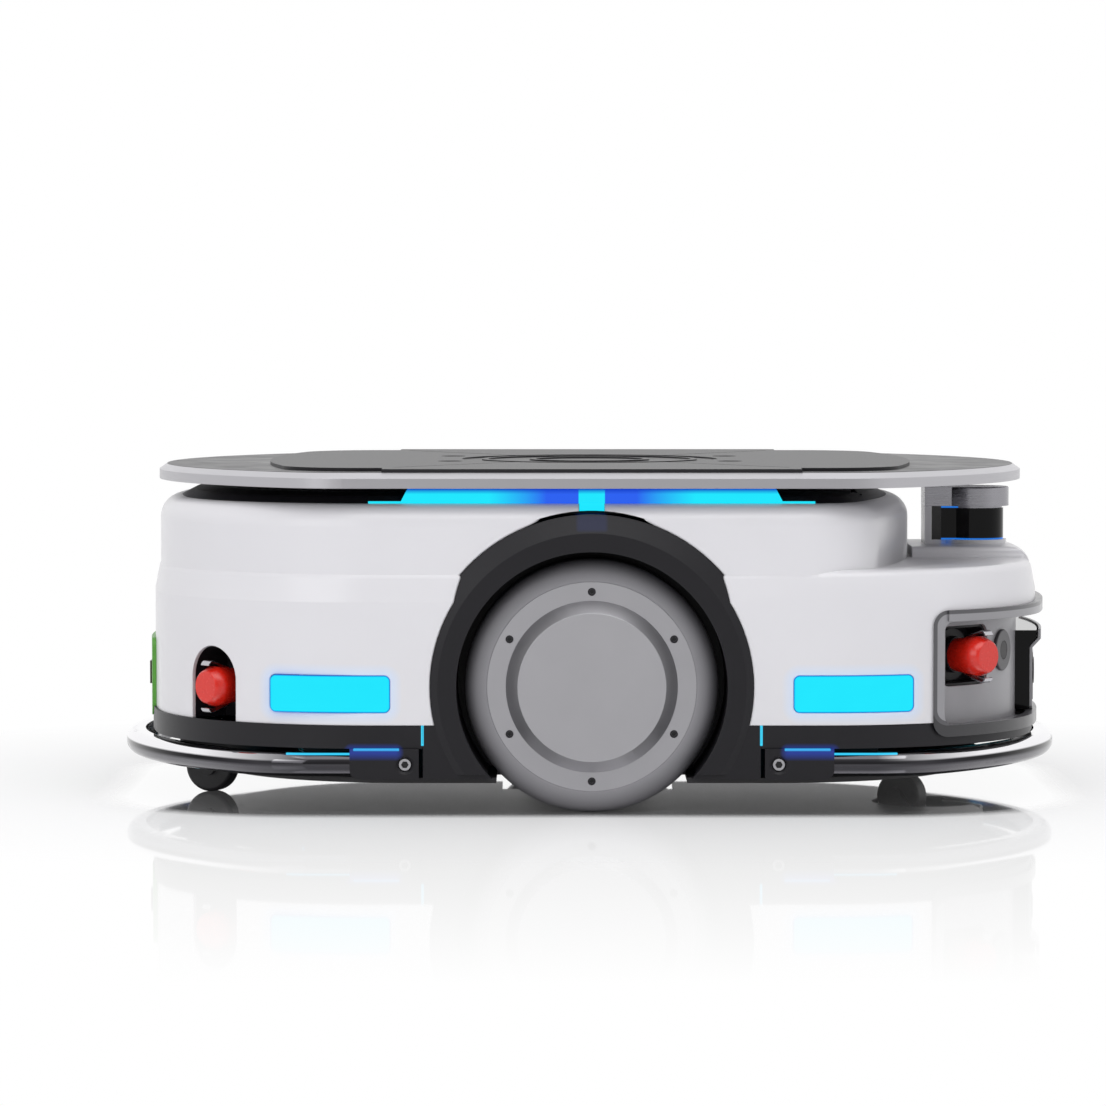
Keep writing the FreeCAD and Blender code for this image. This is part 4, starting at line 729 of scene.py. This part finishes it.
def screwTemplates():
    h = screwHead
    rings = [(1, -h["height"]), (1, -h["break"]), (1 - h["break"], 0)]
    corners, faces = [], []
    for radius, z in rings:
        for i in range(h["sides"]):
            turn = 2 * math.pi * i / h["sides"]
            corners.append((radius * math.cos(turn), radius * math.sin(turn), z))
    perSide = h["sides"] // 6
    for z in (0, -h["deep"]):
        for i in range(h["sides"]):
            flat, part = divmod(i, perSide)
            first = Vector((math.cos(math.pi / 3 * flat), math.sin(math.pi / 3 * flat)))
            last = Vector((math.cos(math.pi / 3 * (flat + 1)), math.sin(math.pi / 3 * (flat + 1))))
            spot = first.lerp(last, part / perSide) * h["socket"]
            corners.append((spot.x, spot.y, z))
    for ring in range(4):
        for i in range(h["sides"]):
            j = (i + 1) % h["sides"]
            a, b = ring * h["sides"], (ring + 1) * h["sides"]
            faces.append([a + i, a + j, b + j, b + i])
    faces.append([4 * h["sides"] + i for i in range(h["sides"])])
    faces.append(list(range(h["sides"])))
    # painted shade: a black hex floor set inside each socket, where the recess is only in shade
    width = h["socket"] * h["fit"]
    socket = [(math.cos(math.pi / 3 * i) * width, math.sin(math.pi / 3 * i) * width, z)
              for z in (-h["deep"] + 0.01, -h["deep"] + 0.06) for i in range(6)]
    socketFaces = [[0, 1, 2, 3, 4, 5], [6, 7, 8, 9, 10, 11]]
    socketFaces += [[i, (i + 1) % 6, (i + 1) % 6 + 6, i + 6] for i in range(6)]
    head = bpy.data.objects.new("socket_screw_head", meshOf("socket_screw_head", corners, faces))
    floor = bpy.data.objects.new("socket_floor", meshOf("socket_floor", socket, socketFaces))
    return head, floor


# Both sets of screws: how many, on what circle, how large, and where their heads end
hubScrews = {"count": 6, "circle": 71.5, "head": 2.9, "face": 236.8, "start": 90}
bracketScrews = {"count": 2, "circle": 140.5, "head": 5.0, "face": 248.0, "z": 38}


def makeScrews():
    tree = ringTree()
    head, floor = screwTemplates()
    for side, sign in (("left", 1), ("right", -1)):
        outward = math.radians(-90 * sign)
        # the socket pieces are black plugs that paint the shade inside each socket
        for part, copy, finish in (("heads", head, screwSteel), ("sockets", floor, innerBlack)):
            growPiece("hub_screw_" + part + "_" + side, tree, {
                "Copy": copy, "Count": hubScrews["count"], "Circle Radius": hubScrews["circle"] * mm,
                "Size": hubScrews["head"], "Centre": (0, sign * hubScrews["face"] * mm, wheel["axle"] * mm),
                "Turn": (outward, math.radians(hubScrews["start"]), 0), "Finish": finish}, "wheel_" + side,
                ["hub_screws_" + side] if part == "heads" else [])
        for part, copy, finish in (("heads", head, screwZinc), ("sockets", floor, innerBlack)):
            growPiece("bracket_screw_" + part + "_" + side, tree, {
                "Copy": copy, "Count": bracketScrews["count"], "Circle Radius": bracketScrews["circle"] * mm,
                "Size": bracketScrews["head"], "Turn": (outward, 0, 0), "Finish": finish,
                "Centre": (0, sign * bracketScrews["face"] * mm, bracketScrews["z"] * mm)}, "chassis",
                ["bracket_screws"] if part == "heads" and sign > 0 else [])
    for template in (head, floor):
        bpy.data.objects.remove(template)


# Nose of the front shell: the step under the scanner runs round into the shoulder instead of past it
noseStep = {"start": 333, "run": 16.5, "foot": 178, "rise": 14.4, "clear": 366, "half": 64, "arc": 10,
            "above": 4, "sharp": 28}


def makeFrontShell():
    n = noseStep
    mesh = cadNodes["front_shell"].data.copy()
    shape = bmesh.new()
    shape.from_mesh(mesh)
    bmesh.ops.remove_doubles(shape, verts=shape.verts, dist=0.002 * mm)
    shape.to_mesh(mesh)
    shape.free()
    shell = bpy.data.objects.new("front_shell_body", mesh)
    bpy.context.collection.objects.link(shell)
    top = n["foot"] + n["rise"] + n["above"]
    arc = [(n["start"] + n["run"] * math.sin(t), n["foot"] + n["rise"] * math.cos(t))
           for t in [math.pi / 2 * step / n["arc"] for step in range(n["arc"] + 1)]]
    waste = [(n["start"], top)] + arc + [(n["clear"], n["foot"]), (n["clear"], top)]
    cutter = bpy.data.objects.new("step_cutter", meshOf("step_cutter", *bowedBar(waste, n["half"])))
    bpy.context.collection.objects.link(cutter)
    cut = shell.modifiers.new("step", "BOOLEAN")
    cut.object = cutter
    cut.operation = "DIFFERENCE"
    cut.solver = "EXACT"
    applyModifiers(shell)
    bpy.data.objects.remove(cutter)
    shell.data.shade_smooth()
    shell.data.set_sharp_from_angle(angle=math.radians(n["sharp"]))
    even = shell.modifiers.new("even", "WEIGHTED_NORMAL")  # large faces keep their own flat shading
    even.mode = "FACE_AREA_WITH_ANGLE"
    even.weight = 100
    even.keep_sharp = True
    applyModifiers(shell)
    shell.data.materials.clear()
    shell.data.materials.append(whiteShell)
    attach(shell, "chassis")
    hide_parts("front_shell")


makeFrontShell()
makePod()
makeScannerCore()
makeStops()
makeScrews()
print("own pieces made")


# Studio: a white floor that mirrors what stands on it, a pale surround, soft lamps and the camera
studio = {"floor": "#F6F6F8", "floorShade": "#F3F3F5", "world": 0.68, "behind": 0.3, "size": 30.0,
          "footprint": (0.22, 0.1), "round": 0.14, "fade": 0.04, "under": 0.92, "near": 0.24, "reach": 0.9,
          "whiteFrom": -0.25, "whiteTo": 0.35}
camera = {"place": (-0.0292, -3.846, 0.3867), "pitch": 3.013, "lens": 156.5, "sensor": 36.0}


def makeFloor():
    half = studio["size"]
    mesh = bpy.data.meshes.new("studio_floor")
    square = [(-half, -half, 0), (half, -half, 0), (half, half, 0), (-half, half, 0)]
    mesh.from_pydata(square, [], [(0, 1, 2, 3)])
    floor = bpy.data.objects.new("studio_floor", mesh)
    bpy.context.collection.objects.link(floor)
    material, tree, body, place = newMaterial("polished_white_floor", {"IOR": 1.45, "Roughness": 0.6,
                                                                       "Specular IOR Level": 0.0})
    cloud = grainField(tree, place, 900)
    paint = blendColours(tree, cloud, colourOf(studio["floor"]), colourOf(studio["floorShade"]))
    connect(tree, paint, body, "Base Color")
    folded = addNode(tree, "ShaderNodeVectorMath", {"operation": "ABSOLUTE"}, {0: place})
    past = addNode(tree, "ShaderNodeVectorMath", {"operation": "SUBTRACT", 1: (*studio["footprint"], 0)},
                   {0: folded.outputs[0]})
    kept = addNode(tree, "ShaderNodeVectorMath", {"operation": "MAXIMUM", 1: (0, 0, 0)}, {0: past.outputs[0]})
    reach = addNode(tree, "ShaderNodeVectorMath", {"operation": "LENGTH"}, {0: kept.outputs[0]})
    away = addNode(tree, "ShaderNodeMath", {"operation": "SUBTRACT", 1: studio["round"]},
                   {0: reach.outputs["Value"]}).outputs[0]
    white = spread(tree, away, 0.0, 1.0, studio["whiteFrom"], studio["whiteTo"])
    outer = spread(tree, away, studio["near"], 0.0, 0.02, studio["reach"])
    inner = spread(tree, away, studio["under"], 0.0, 0.0, studio["fade"])
    mirrorShare = addNode(tree, "ShaderNodeMath", {"operation": "MAXIMUM"}, {0: outer, 1: inner}).outputs[0]
    glow = addNode(tree, "ShaderNodeEmission", {"Color": (1, 1, 1, 1), "Strength": 1.0})
    mirror = addNode(tree, "ShaderNodeBsdfGlossy", {"Color": (1, 1, 1, 1), "Roughness": 0.03})
    path = addNode(tree, "ShaderNodeLightPath")
    seen = addNode(tree, "ShaderNodeMath", {"operation": "MAXIMUM"},
                   {0: path.outputs["Is Camera Ray"], 1: path.outputs["Is Glossy Ray"]})
    share = addNode(tree, "ShaderNodeMath", {"operation": "MULTIPLY"}, {0: white, 1: seen.outputs[0]})
    lit = addNode(tree, "ShaderNodeMixShader", {}, {0: share.outputs[0], 1: body.outputs["BSDF"],
                                                    2: glow.outputs[0]})
    whole = addNode(tree, "ShaderNodeMixShader", {}, {0: mirrorShare, 1: lit.outputs[0],
                                                      2: mirror.outputs[0]})
    output = [node for node in tree.nodes if node.type == "OUTPUT_MATERIAL"][0]
    tree.links.new(whole.outputs[0], output.inputs["Surface"])
    mesh.materials.append(material)


def makeWorld():
    # white where it is seen, and darker behind the camera in reflections, as in a studio
    world = bpy.data.worlds.new("pale_surround")
    bpy.context.scene.world = world
    world.use_nodes = True
    tree = world.node_tree
    tree.nodes.clear()
    path = addNode(tree, "ShaderNodeLightPath")
    way = addNode(tree, "ShaderNodeTexCoord").outputs["Generated"]
    along = addNode(tree, "ShaderNodeSeparateXYZ", {}, {0: way}).outputs[1]
    room = spread(tree, along, studio["behind"], 1.0, -0.95, -0.5)
    glossy = addNode(tree, "ShaderNodeMapRange", {"To Min": studio["world"]},
                     {"Value": path.outputs["Is Glossy Ray"], "To Max": room})
    strength = addNode(tree, "ShaderNodeMapRange", {"To Max": 1.0},
                       {"Value": path.outputs["Is Camera Ray"], "To Min": glossy.outputs["Result"]})
    background = addNode(tree, "ShaderNodeBackground", {"Color": (1, 1, 1, 1)},
                         {"Strength": strength.outputs["Result"]})
    addNode(tree, "ShaderNodeOutputWorld", {}, {"Surface": background.outputs[0]})


def addLamp(name, place, target, size, power):
    lamp = bpy.data.lights.new(name, "AREA")
    lamp.shape = "RECTANGLE"
    lamp.size, lamp.size_y = size
    lamp.energy = power
    holder = bpy.data.objects.new(name, lamp)
    holder.location = place
    holder.rotation_euler = (Vector(target) - Vector(place)).to_track_quat("-Z", "Y").to_euler()
    bpy.context.collection.objects.link(holder)


def makeCamera():
    lens = bpy.data.cameras.new("studio_camera")
    lens.lens = camera["lens"]
    lens.sensor_width = camera["sensor"]
    lens.clip_end = 100
    holder = bpy.data.objects.new("studio_camera", lens)
    holder.location = camera["place"]
    holder.rotation_euler = (math.radians(90 - camera["pitch"]), 0, 0)
    bpy.context.collection.objects.link(holder)
    bpy.context.scene.camera = holder


makeFloor()
makeWorld()
addLamp("key_overhead", (0.3, -1.2, 2.4), (0, 0, 0.1), (2.6, 1.6), 24)
addLamp("front_fill", (-1.6, -2.6, 1.2), (0, 0, 0.15), (1.6, 1.6), 14)
makeCamera()
bpy.context.scene.view_settings.view_transform = "Standard"
print("studio set")
